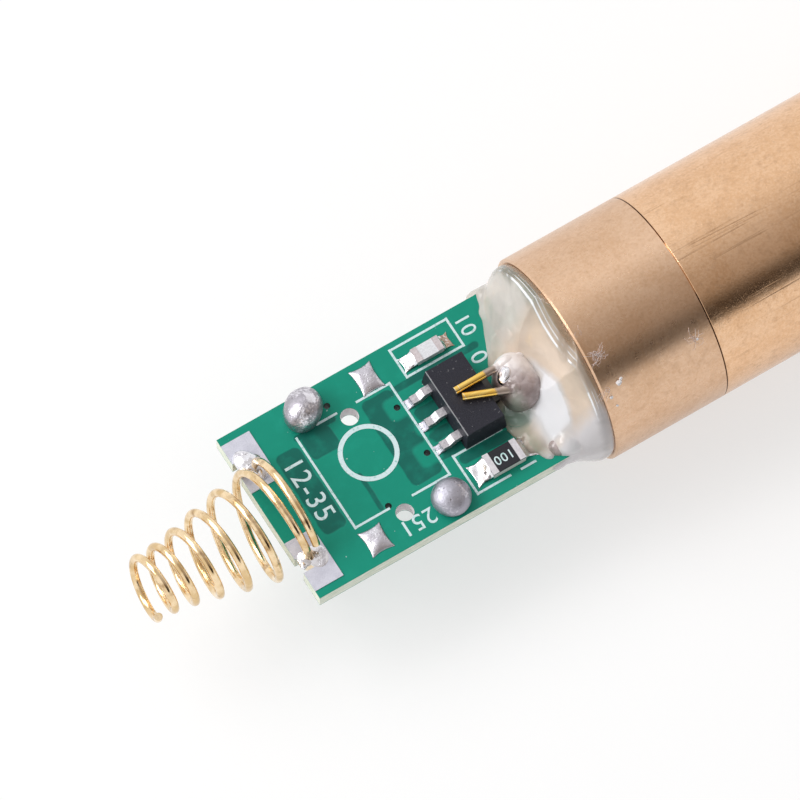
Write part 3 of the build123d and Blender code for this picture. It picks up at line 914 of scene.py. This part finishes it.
resistor_joints = chip_joints("resistor_joints", "resistor_caps", length=0.98, height=0.50)
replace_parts(resistor_joints, "resistor_solder")
chip_rear, chip_front, chip_middle = board_box("resistor_body")[:3]
resistor_spot = ((chip_rear + chip_front) / 2, chip_middle)
resistor_top = chip_top - board_top / MM + NUMBER_LEVEL
printed_number("resistor_number", "100", resistor_spot, 0.72, 180, resistor_top, "chip_grey")

material, tree, place = new_finish("pale_ceramic")
fine = place.grain(12.0, 4.0)
close_finish(
    tree,
    {
        "Base Color": fine.rise(0.3, 0.7).colour(SMALL_CHIP, SMALL_CHIP_PALE),
        "Roughness": fine * 0.2 + 0.3,
        "Normal": fine.relief(0.008, 0.5),
    },
)
dress("small_chip_body", material)
worn_tin = metal_finish("worn_tin", WORN_TIN, WORN_TIN_PALE, roughness=0.3, scale=10.0, depth_mm=0.012)
dress("small_chip_caps", worn_tin)
small_chip_joints = chip_joints("small_chip_joints", "small_chip_caps", length=0.80, height=0.40)
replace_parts(small_chip_joints, "small_chip_solder")


# Diode leads: gold-plated wires, cropped to length, that rise out of the glue and lie
# over the transistor. Their cloudy grey solder joint stands on the board beside it,
# with solder drawn along the wires and a bright blob between them.
LEAD_GOLD = (1.0, 0.72, 0.22, 1)
LEAD_GOLD_DEEP = (0.92, 0.55, 0.10, 1)
LEAD_GREY = (0.42, 0.34, 0.29, 1)
LEAD_CUT = (0.90, 0.82, 0.62, 1)
JOINT_GREY = (0.25, 0.19, 0.185, 1)
JOINT_PALE = (0.42, 0.34, 0.33, 1)
JOINT_BROWN = (0.17, 0.115, 0.10, 1)
JOINT_GREEN = (0.27, 0.29, 0.245, 1)
JOINT_HAZE = (0.84, 0.77, 0.75, 1)
HAZE_ALONG = 0.48
HAZE_ACROSS = 0.79
HAZE_START = 6.75
HAZE_END = 7.65
TINNED_FROM = 13.55
COATED_FROM = 14.2
WETTING = 0.2
SECOND_CUT = 11.96
CUT_SKIN = 0.02
SLEEVE_LEVEL = 1.44
lead_rear = board_box("diode_leads")[0]


def joint_haze(along, across, fine):
    """How far the glue's haze covers the lead joint: most on its upper front side."""
    return (along * HAZE_ALONG + across * HAZE_ACROSS + fine * 0.5).rise(HAZE_START, HAZE_END)


material, tree, place = new_finish("lead_gold")
along, across = board_place(place)[:2]
fine = place.grain(9.0, 3.0)
drawn = place.times(0.5, 5.0, 5.0).grain(1.0, 2.0)
uneven = along + fine * 0.3
tinned = uneven.rise(TINNED_FROM, TINNED_FROM + WETTING)
coated = uneven.rise(COATED_FROM, COATED_FROM + WETTING)
joint_grey = joint_haze(along, across, fine).colour(JOINT_GREY, JOINT_HAZE)
gold = drawn.rise(0.3, 0.7).colour(LEAD_GOLD_DEEP, LEAD_GOLD)
wire_tone = coated.colour(tinned.colour(gold, LEAD_GREY), joint_grey)
cropped = 1 - along.rise(lead_rear + CUT_SKIN, lead_rear + CUT_SKIN * 2)
cropped = cropped.greater(along.near(SECOND_CUT, CUT_SKIN))
close_finish(
    tree,
    {
        "Base Color": cropped.colour(wire_tone, LEAD_CUT),
        "Metallic": 1 - coated,
        "Roughness": fine * 0.06 + tinned * 0.15 + 0.15,
        "Normal": drawn.relief(0.012, 0.3),
    },
)
dress("diode_leads", material)

material, tree, place = new_finish("cloudy_solder")
along, across = board_place(place)[:2]
fine = place.grain(4.0, 5.0)
broad = place.grain(0.8, 3.0)
patchy = place.grain(2.2, 4.0, 0.6)
browned = (1 - (along + patchy).rise(14.9, 15.6)) * patchy.rise(0.40, 0.56) * 0.85
at_rear = 1 - (along + fine * 0.4).rise(14.3, 15.1)
at_side = 1 - (across + fine * 0.4).rise(-1.5, -0.7)
greened = at_rear * at_side * 0.85
hazed = joint_haze(along, across, patchy)
cloudy = (fine * 0.4 + broad * 0.6).rise(0.32, 0.62).colour(JOINT_GREY, JOINT_PALE)
cloudy = hazed.colour(browned.colour(cloudy, JOINT_BROWN), JOINT_HAZE)
close_finish(
    tree,
    {
        "Base Color": greened.colour(cloudy, JOINT_GREEN),
        "Roughness": fine * 0.2 + 0.34,
        "Coat Weight": 1.0,
        "Coat Roughness": 0.05,
        "Normal": (fine * 0.3 + broad).relief(0.10, 0.6),
    },
)
dress("lead_solder", material)

# The solder along the wires: spot, half sizes, height and unevenness of each drop, its
# turn in degrees, and its foot above the sleeves' level.
sleeve_drops = [
    ((14.78, 0.42), 0.66, 0.38, 0.62, 0.05, 0, 0.0),
    ((14.62, -1.12), 0.62, 0.38, 0.62, 0.05, -22, 0.0),
    ((15.0, -0.4), 0.85, 1.15, 0.66, 0.05, 0, 0.01),
]
lead_sleeves = Shape()
for *form, turn, lift in sleeve_drops:
    drop(lead_sleeves, *form, turn=radians(turn), foot=SLEEVE_LEVEL + lift)
lead_sleeves.piece("lead_sleeves", material, "solder")
lead_blob = Shape()
drop(lead_blob, (14.42, -0.20), 0.50, 0.38, 0.52, 0.07, turn=0.5, foot=SLEEVE_LEVEL + 0.22)
lead_blob.piece("lead_blob", bright_solder, "solder")


# Glue: clear resin poured between the board and the barrel. It fills the recess
# behind the diode, stands as a collar at the brass, slopes down over the lead joint
# and runs out over the board in a ragged edge.
GLUE_TINT = (0.95, 0.93, 0.88, 1)
GLUE_BEIGE = (0.84, 0.69, 0.56, 1)
GLUE_GREY = (0.82, 0.775, 0.715, 1)
GLUE_GREEN = (0.42, 0.43, 0.34, 1)
GLUE_RIM = (0.56, 0.40, 0.27, 1)
GLUE_PALE = (0.78, 0.755, 0.77, 1)
GLUE_MILK_AND_SHEEN = (0.83, 0.825, 0.85, 1)
GLUE_WHITE_AND_HIGHLIGHT = (0.95, 0.955, 0.98, 1)
RESIN_IOR = 1.46
GLUE_VOXEL = 0.085
GLUE_SMOOTHING = 14
COLLAR_MARGIN = 0.2
COLLAR_LENGTH = 0.5
TONGUE_REACH = 4.3
TONGUE_HALF_WIDTH = 2.3
TONGUE_HALF_HEIGHT = 0.72
TONGUE_SIDE = -2.2
BRASS_OVERLAP = 0.06
RECESS_DEPTH = 2.9
RECESS_MARGIN = 1.4
RECESS_OVERLAP = 0.2
rear_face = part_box("diode_holder")[0][0] / MM
barrel_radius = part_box("diode_holder")[1][2] / MM
recess_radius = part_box("diode_header")[1][1] / MM + RECESS_MARGIN
collar_radius = barrel_radius - COLLAR_MARGIN

# Lumps that the resin leaves: distance behind the barrel's rear face, side and height
# of each middle, then its three half sizes.
glue_lumps = [
    (2.00, -4.45, 0.75, 0.95, 0.85, 0.75),
    (1.35, -2.9, 1.0, 0.9, 1.6, 0.8),
    (3.55, -2.3, 0.55, 0.75, 1.1, 0.42),
    (3.6, -3.5, 0.62, 0.70, 0.75, 0.36),
    (2.50, 2.23, 0.66, 0.24, 0.28, 0.22),
    (2.95, 1.55, 0.66, 0.26, 0.24, 0.22),
    (1.95, 3.95, 0.66, 0.26, 0.34, 0.22),
    (2.20, 3.10, 0.66, 0.20, 0.24, 0.18),
    (4.20, -2.45, 0.66, 0.22, 0.26, 0.18),
]
# Runs of resin: the half thickness across and the half height at the two ends of each,
# then points along it, as distance behind the rear face, side and height.
glue_runs = [
    (
        (0.36, 0.20, 0.24),
        [(1.35, 5.0, 0.6), (1.85, 4.0, 0.6), (2.2, 2.8, 0.6), (2.75, 1.9, 0.6), (3.1, 0.9, 0.6)],
    ),
    (
        (0.40, 0.22, 0.20),
        [(3.55, -0.9, 0.6), (3.95, -1.7, 0.6), (3.95, -2.6, 0.6), (3.8, -3.6, 0.6), (3.35, -4.75, 0.55)],
    ),
    ((0.46, 0.60, 0.22), [(0.4, 5.2, 0.2), (1.3, 5.12, 0.1), (2.2, 5.12, 0.1)]),
    ((0.36, 0.60, 0.30), [(0.4, -5.3, 0.0), (1.3, -5.0, 0.05), (2.4, -5.0, 0.05), (3.4, -5.05, 0.15)]),
]
RUN_SPACING = 0.12
RUN_GRAIN = 1.6
RUN_UNEVEN = 0.7
# A clear spot in the resin shows the board beside the lead joint.
WINDOW_SPOT = (3.55, -1.75)
WINDOW_REACH = 1.05
WINDOW_EDGE = 0.75
WINDOW_TINT = (0.72, 0.64, 0.55, 1)
WINDOW_CLEAR = 0.62
WINDOW_MILK = (0.68, 0.80, 0.70, 1)
# Round the lead joint the resin is drawn down, so that the joint's top stands free.
MOUND_SPOT = (2.75, -0.5)
MOUND_HALF = (1.1, 1.6)
MOUND_CORE = 0.62
MOUND_EDGE = 0.86
MOUND_SHOWS = 0.5
MOUND_SLOPE = 1.7
MOUND_BURIED = 0.9
mound_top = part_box("lead_solder")[1][2] / MM

material, tree, place = new_finish("clear_glue")
x, y, z = place.parts()
behind = rear_face - x
cloud = place.grain(0.55, 3.0, 0.5)
fine = place.grain(2.4, 3.0)
folds = place.times(2.6, 0.35, 0.35).grain(1.0, 3.0, 0.4)
stray = (cloud - 0.5) * 0.5 + (fine - 0.5) * 0.12
collar = 1 - (behind + stray).rise(0.35, 0.85)
rim = 1 - (behind + stray * 0.3).rise(0.14, 0.30)
upper = (y + stray * 2).rise(0.9, 2.4)
lower = 1 - (y + stray * 2).rise(-5.0, -4.0)
thin_edge = behind.rise(3.0, 3.9)
# A band beside the lead joint is milkier and whiter than the slope above it: partly milky resin, partly a
# painted highlight.
sheen_top = (y + 2.1) * (y + 2.1) * 0.06 + 1.3
sheen_foot = ((0 - y - 1.2).greater(0.0) * 1.1 + 1.95).lesser(3.3)
sheen_sides = y.rise(-4.7, -3.9) * (1 - y.rise(-0.5, 0.7))
past_top = (behind + stray * 0.8 - sheen_top).rise(-0.10, 0.22)
past_foot = (behind + stray - sheen_foot).rise(-0.6, 0.4)
in_milky_sheen = past_top * (1 - past_foot) * sheen_sides
# Fine folds run round the collar, parallel to the brass edge. Their white lines are painted highlights.
fold_reach = z.rise(2.2, 3.4)
bent = behind + (folds - 0.5) * 0.12
fold_highlights = bent.near(0.58, 0.05) + bent.near(0.40, 0.035) * 0.8 + bent.near(0.24, 0.03) * 0.5
fold_highlights = (fold_highlights * fold_reach * cloud.rise(0.36, 0.52)).lesser(1.0)
window = round_spot(behind + stray, y + stray, WINDOW_SPOT, WINDOW_REACH, WINDOW_EDGE)
glue_tone = upper.colour(GLUE_BEIGE, GLUE_GREY)
glue_tone = lower.colour((collar * upper).colour(glue_tone, GLUE_GREEN), GLUE_PALE)
glue_tone = (rim * (1 - lower)).colour(glue_tone, GLUE_RIM)
glue_tone = window.colour(glue_tone, WINDOW_MILK)
glue_tone = fold_highlights.colour(in_milky_sheen.colour(glue_tone, GLUE_MILK_AND_SHEEN), GLUE_WHITE_AND_HIGHLIGHT)
milk = 0.74 - collar * 0.24 - upper * 0.12 + lower * 0.10 - thin_edge * 0.34 + (cloud - 0.5) * 0.4
milk = milk.greater(in_milky_sheen * 0.92).greater(fold_highlights * 0.95).greater(window * 0.8).lesser(0.95)
ripples = (folds * 0.75 + fine * 0.25 + fold_highlights * 0.6).relief(0.05, 0.5)
shine = {"IOR": RESIN_IOR, "Normal": ripples}
clear_look = {"Base Color": GLUE_TINT, "Roughness": fine * 0.05 + 0.02, "Transmission Weight": 1.0}
milky_look = {"Base Color": glue_tone, "Roughness": fine * 0.05 + 0.035}
clear = tree.node("BsdfPrincipled", {}, shine | clear_look, output="BSDF")
milky = tree.node("BsdfPrincipled", {}, shine | milky_look, output="BSDF")
see_through = tree.node("BsdfTransparent", {}, {"Color": WINDOW_TINT})
resin = tree.node("MixShader", {}, {0: milk, 1: clear, 2: milky})
resin = tree.node("MixShader", {}, {0: window * WINDOW_CLEAR, 1: resin, 2: see_through})
tree.node("OutputMaterial", {}, {"Surface": resin})
clear_glue = material


def glue_section(along):
    """Half width, half height and side shift of the glue at a share of its slope."""
    share = min(max(along, 0.0), 1.0)
    narrowed = share**1.4
    lowered = 1 - (1 - share) ** 2.1
    half_width = collar_radius + (TONGUE_HALF_WIDTH - collar_radius) * narrowed
    half_height = collar_radius + (TONGUE_HALF_HEIGHT - collar_radius) * lowered
    return half_width, half_height, TONGUE_SIDE * narrowed


def oval(x, side, half_width, half_height, steps=96):
    """Points round an upright oval, in millimetres."""
    return [(x, side + half_width * cos(a), half_height * sin(a)) for a in round_angles(steps)]


def lump(shape, middle, half_sizes, rings=14, steps=28):
    """A closed round lump, in millimetres."""
    levels = []
    for i in range(1, rings):
        tilt = pi * i / rings
        radius = sin(tilt)
        ring = [Vector((radius * cos(a), radius * sin(a), -cos(tilt))) for a in round_angles(steps)]
        levels.append([Vector(middle) + point * Vector(half_sizes) for point in ring])
    shape.tube(levels)


def glue_level(from_mound):
    """The highest that the glue stands, at a distance from the lead joint in its half sizes."""
    wetted = mound_top - MOUND_SHOWS
    if from_mound > MOUND_EDGE:
        return wetted + MOUND_SLOPE * (from_mound - MOUND_EDGE) ** 1.3
    climbed = max(0.0, (from_mound - MOUND_CORE) / (MOUND_EDGE - MOUND_CORE))
    return MOUND_BURIED + (wetted - MOUND_BURIED) * climbed


poured = Shape()
SLOPE_RINGS = 24
BROAD_SWELL = (0.4, 0.12)
FINE_SWELL = (1.3, 0.03)
FREE_RISE = 1.5
slope_stations = [(rear_face + BRASS_OVERLAP, 0.0), (rear_face - COLLAR_LENGTH * 0.5, 0.0)]
for i in range(SLOPE_RINGS + 1):
    along = i / SLOPE_RINGS
    slope_stations.append((rear_face - COLLAR_LENGTH - (TONGUE_REACH - COLLAR_LENGTH) * along, along))
slope_rings = []
for station, along in slope_stations:
    half_width, half_height, side = glue_section(along)
    slope_rings.append(oval(station, side, half_width, half_height))
poured.tube(slope_rings)
recess_ends = (rear_face - RECESS_OVERLAP, rear_face + RECESS_DEPTH)
poured.tube([oval(end, 0.0, recess_radius, recess_radius) for end in recess_ends])
for behind_face, side, height, *half_sizes in glue_lumps:
    lump(poured, (rear_face - behind_face, side, height), half_sizes)
for (thickness, first_height, last_height), stops in glue_runs:
    lengths = [(Vector(b) - Vector(a)).length for a, b in zip(stops, stops[1:])]
    travelled = 0.0
    for (a, b), length in zip(zip(stops, stops[1:]), lengths):
        for i in range(round(length / RUN_SPACING)):
            behind_face, side, height = Vector(a).lerp(Vector(b), i * RUN_SPACING / length)
            share = (travelled + i * RUN_SPACING) / sum(lengths)
            half_height = first_height + (last_height - first_height) * share
            swell = noise.noise((behind_face * RUN_GRAIN, side * RUN_GRAIN, height))
            thick = thickness * (1 + RUN_UNEVEN * swell)
            middle = (rear_face - behind_face, side, height)
            lump(poured, middle, (thick, thick, half_height), rings=8, steps=14)
        travelled += length
rough = placed("poured_glue", poured.mesh("poured_glue"))
merged = rough.modifiers.new("merged", "REMESH")
merged.mode = "VOXEL"
merged.voxel_size = GLUE_VOXEL
settled = rough.modifiers.new("settled", "SMOOTH")
settled.factor = 0.5
settled.iterations = GLUE_SMOOTHING
glue_mesh = worked_out(rough)
glue_mesh.transform(Matrix.Scale(MM, 4))
for vertex in glue_mesh.vertices:
    free = min(1.0, max(0.0, (rear_face - vertex.co.x / MM) * FREE_RISE))
    vertex.co += (wobble(vertex.co, *BROAD_SWELL) + wobble(vertex.co, *FINE_SWELL)) * free
    from_mound_x = (rear_face - MOUND_SPOT[0] - vertex.co.x / MM) / MOUND_HALF[0]
    from_mound_y = (MOUND_SPOT[1] - vertex.co.y / MM) / MOUND_HALF[1]
    from_mound = hypot(from_mound_x, from_mound_y)
    vertex.co.z = min(vertex.co.z, glue_level(from_mound) * MM)
glue_piece = finish_piece("glue_fill", glue_mesh, clear_glue, smooth=True)
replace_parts(glue_piece, "glue")


# Lint and crumbs: tufts of fine pale fibres that cling to the brass beside the glue, and
# a few clear crumbs of resin that were left on the barrel.
FIBRE_RADIUS = 0.008
FIBRE_STEPS = 12
FIBRE_LIFT = 0.02
FIBRE_ARCH = 0.16
FIBRE_SIDES = 5
FIBRE_FAN = 2.4
FIBRE_BEND = 0.5
FIBRE_CURL = 0.7
FIBRE_REACH = 2.2
LINT = (0.58, 0.47, 0.43, 1)
LINT_PALE = (0.84, 0.76, 0.75, 1)
# Each tuft: place along the barrel, angle round it in degrees, spread and fibre count.
tufts = [
    (-14.33, -27.0, 0.26, 34),
    (-9.25, -44.5, 0.28, 12),
    (-14.62, -14.0, 0.26, 3),
    (-14.75, -46.0, 0.26, 8),
]
lint = Shape()


def on_barrel(x, angle, lift):
    """A point in metres on the barrel's skin, from its place and its angle in degrees."""
    radius = barrel_radius + lift
    return Vector((x, radius * sin(radians(angle)), radius * cos(radians(angle)))) * MM


for tuft_x, tuft_angle, spread, count in tufts:
    for k in range(count):
        bend = noise.noise_vector(Vector((k * 1.7, tuft_x, tuft_angle)))
        start = noise.noise_vector(Vector((tuft_x, k * 2.3, 4.0))) * spread
        heading = k * FIBRE_FAN
        step = spread * (0.7 + abs(bend.y)) * FIBRE_REACH / FIBRE_STEPS
        spot_x = tuft_x + start.x
        round_skin = start.y
        rings = []
        for i in range(FIBRE_STEPS + 1):
            share = i / FIBRE_STEPS
            curl = noise.noise((k * 3.1, i * 0.35, tuft_x))
            heading += bend.x * FIBRE_BEND + curl * FIBRE_CURL
            spot_x += step * cos(heading)
            round_skin += step * sin(heading)
            spot_angle = tuft_angle + round_skin / barrel_radius * 180 / pi
            lift = FIBRE_LIFT + abs(bend.z) * FIBRE_ARCH * sin(pi * share)
            middle = on_barrel(spot_x, spot_angle, lift)
            lean = radians(spot_angle)
            side = Vector((-sin(heading), cos(heading), 0)) * FIBRE_RADIUS * MM
            rise = Vector((0, sin(lean), cos(lean))) * FIBRE_RADIUS * MM
            rings.append([middle + side * cos(a) + rise * sin(a) for a in round_angles(FIBRE_SIDES)])
        lint.tube(rings)
material, tree, place = new_finish("pale_lint")
fine = place.grain(20.0, 2.0)
close_finish(
    tree,
    {
        "Base Color": fine.colour(LINT, LINT_PALE),
        "Roughness": fine * 0.3 + 0.4,
    },
)
lint.piece("lint", material, "clear_glue")

# Each crumb: place along the barrel, angle round it in degrees and size.
crumb_spots = [
    (-13.9, -44.5, 0.17),
    (-13.75, -43.2, 0.10),
    (-9.1, -45.2, 0.09),
    (-14.6, -50.0, 0.10),
    (-14.45, -56.0, 0.08),
]
CRUMB_GRAIN = 6.0
CRUMB_UNEVEN = 0.35
CRUMB_LIFT = 0.35
CRUMB_SHARES = (1.0, 0.8, 0.7)
crumbs = Shape()
for crumb_x, crumb_angle, size in crumb_spots:
    middle = on_barrel(crumb_x, crumb_angle, size * CRUMB_LIFT) / MM
    start = len(crumbs.vertices)
    lump(crumbs, middle, [size * share for share in CRUMB_SHARES], rings=8, steps=14)
    for point in crumbs.vertices[start:]:
        point *= MM
        point += wobble(point, CRUMB_GRAIN, size * CRUMB_UNEVEN)
material, tree, place = new_finish("resin_crumbs")
fine = place.grain(9.0, 3.0)
close_finish(
    tree,
    {
        "Base Color": fine.colour(GLUE_MILK_AND_SHEEN, GLUE_WHITE_AND_HIGHLIGHT),
        "Roughness": fine * 0.1 + 0.06,
        "IOR": RESIN_IOR,
        "Transmission Weight": 0.3,
    },
)
crumbs.piece("glue_crumbs", material, "clear_glue")


# Studio: a white table, a white room whose far side is darker, for the metal to mirror,
# and two large soft lamps on the board's upper left.
FLOOR_LEVEL = cad_box[0][2]
FLOOR_HALF = 2.0
FLOOR_WHITE = (1.0, 0.99, 0.99, 1)
FLOOR_GLOW = 0.6
floor_corners = [(side * FLOOR_HALF, end * FLOOR_HALF) for side, end in ((-1, -1), (1, -1), (1, 1), (-1, 1))]
floor_mesh = bpy.data.meshes.new("table")
floor_mesh.from_pydata([(x, y, FLOOR_LEVEL) for x, y in floor_corners], [], [(0, 1, 2, 3)])
table = placed("table", floor_mesh)


def background_seen(tree):
    """1 for the camera's own rays, and 1 for those and for rays off metal or through glass."""
    rays = tree.node("LightPath").socket.node.outputs
    kinds = [Value(tree.tree, rays[f"Is {kind} Ray"]) for kind in ("Camera", "Glossy", "Transmission")]
    return kinds[0], any_of(kinds)


material, tree, place = new_finish("white_table")
seen = background_seen(tree)[1]
matt = tree.node("BsdfDiffuse", {}, {"Color": FLOOR_WHITE})
white = tree.node("Emission", {}, {"Color": (1, 1, 1, 1), "Strength": 1.0})
table_top = tree.node("MixShader", {}, {0: seen * FLOOR_GLOW, 1: matt, 2: white})
tree.node("OutputMaterial", {}, {"Surface": table_top})
floor_mesh.materials.append(material)

world = bpy.data.worlds.new("white_room")
world.use_nodes = True
world.node_tree.nodes.clear()
bpy.context.scene.world = world
tree = Value(world.node_tree)
x, y, z = tree.node("TexCoord", output="Generated").parts()
straight, seen = background_seen(tree)
high_right = z.rise(0.34, 0.44) * x.rise(-0.45, -0.10)
shaded = (1 - y.rise(-0.55, 0.75)) * high_right
dark_side = (1 - y.rise(-0.80, -0.50)) * high_right
sky_tones = [(0.55, 0.55, 0.55, 1), (1, 1, 1, 1), (0.44, 0.39, 0.35, 1), (0.03, 0.022, 0.016, 1)]
sky = [tree.node("Background", {}, {"Color": tone, "Strength": 1.0}) for tone in sky_tones]
dim_light, white_room, grey_side, dark_wall = sky
room = tree.node("MixShader", {}, {0: shaded * (1 - straight), 1: white_room, 2: grey_side})
room = tree.node("MixShader", {}, {0: dark_side * (1 - straight), 1: room, 2: dark_wall})
room = tree.node("MixShader", {}, {0: seen, 1: dim_light, 2: room})
tree.node("OutputWorld", {}, {"Surface": room})


def soft_lamp(name, place, aim, size, power):
    """A square soft box that points at a spot: its side in metres, its power in watts."""
    lamp = bpy.data.lights.new(name, "AREA")
    lamp.shape = "SQUARE"
    lamp.size = size
    lamp.energy = power
    holder = placed(name, lamp)
    holder.location = place
    holder.rotation_euler = (Vector(aim) - Vector(place)).to_track_quat("-Z", "Y").to_euler()


BOARD_SPOT = (-0.02, 0.0, 0.0)
soft_lamp("left_lamp", (-0.50, 0.22, 0.34), BOARD_SPOT, size=0.30, power=1.7)
soft_lamp("rear_lamp", (-0.22, 0.36, 0.46), BOARD_SPOT, size=0.34, power=1.35)


# Camera: a long lens that looks down on the board, from the spring's side, at the angle
# of the photograph. Colours are shown as they are written.
VIEW_AZIMUTH = 33.029
VIEW_ELEVATION = 67.544
VIEW_ROLL = 1.531
VIEW_DISTANCE = 0.450
VIEW_LENS = 384.33
VIEW_AIM = (-0.02301, 0.002649, -0.000887)
azimuth, elevation, roll = [radians(angle) for angle in (VIEW_AZIMUTH, VIEW_ELEVATION, VIEW_ROLL)]
back = Vector((-sin(azimuth) * cos(elevation), -cos(azimuth) * cos(elevation), sin(elevation)))
level_right = Vector((cos(azimuth), -sin(azimuth), 0))
level_up = back.cross(level_right)
right = level_right * cos(roll) + level_up * sin(roll)
up = back.cross(right)
camera = bpy.data.cameras.new("camera")
camera.lens = VIEW_LENS
camera.sensor_width = 36
camera.clip_start = 0.01
camera_holder = placed("camera", camera)
turn = Matrix((right, up, back)).transposed().to_4x4()
camera_holder.matrix_world = Matrix.Translation(Vector(VIEW_AIM) + back * VIEW_DISTANCE) @ turn
bpy.context.scene.camera = camera_holder
bpy.context.scene.view_settings.view_transform = "Standard"
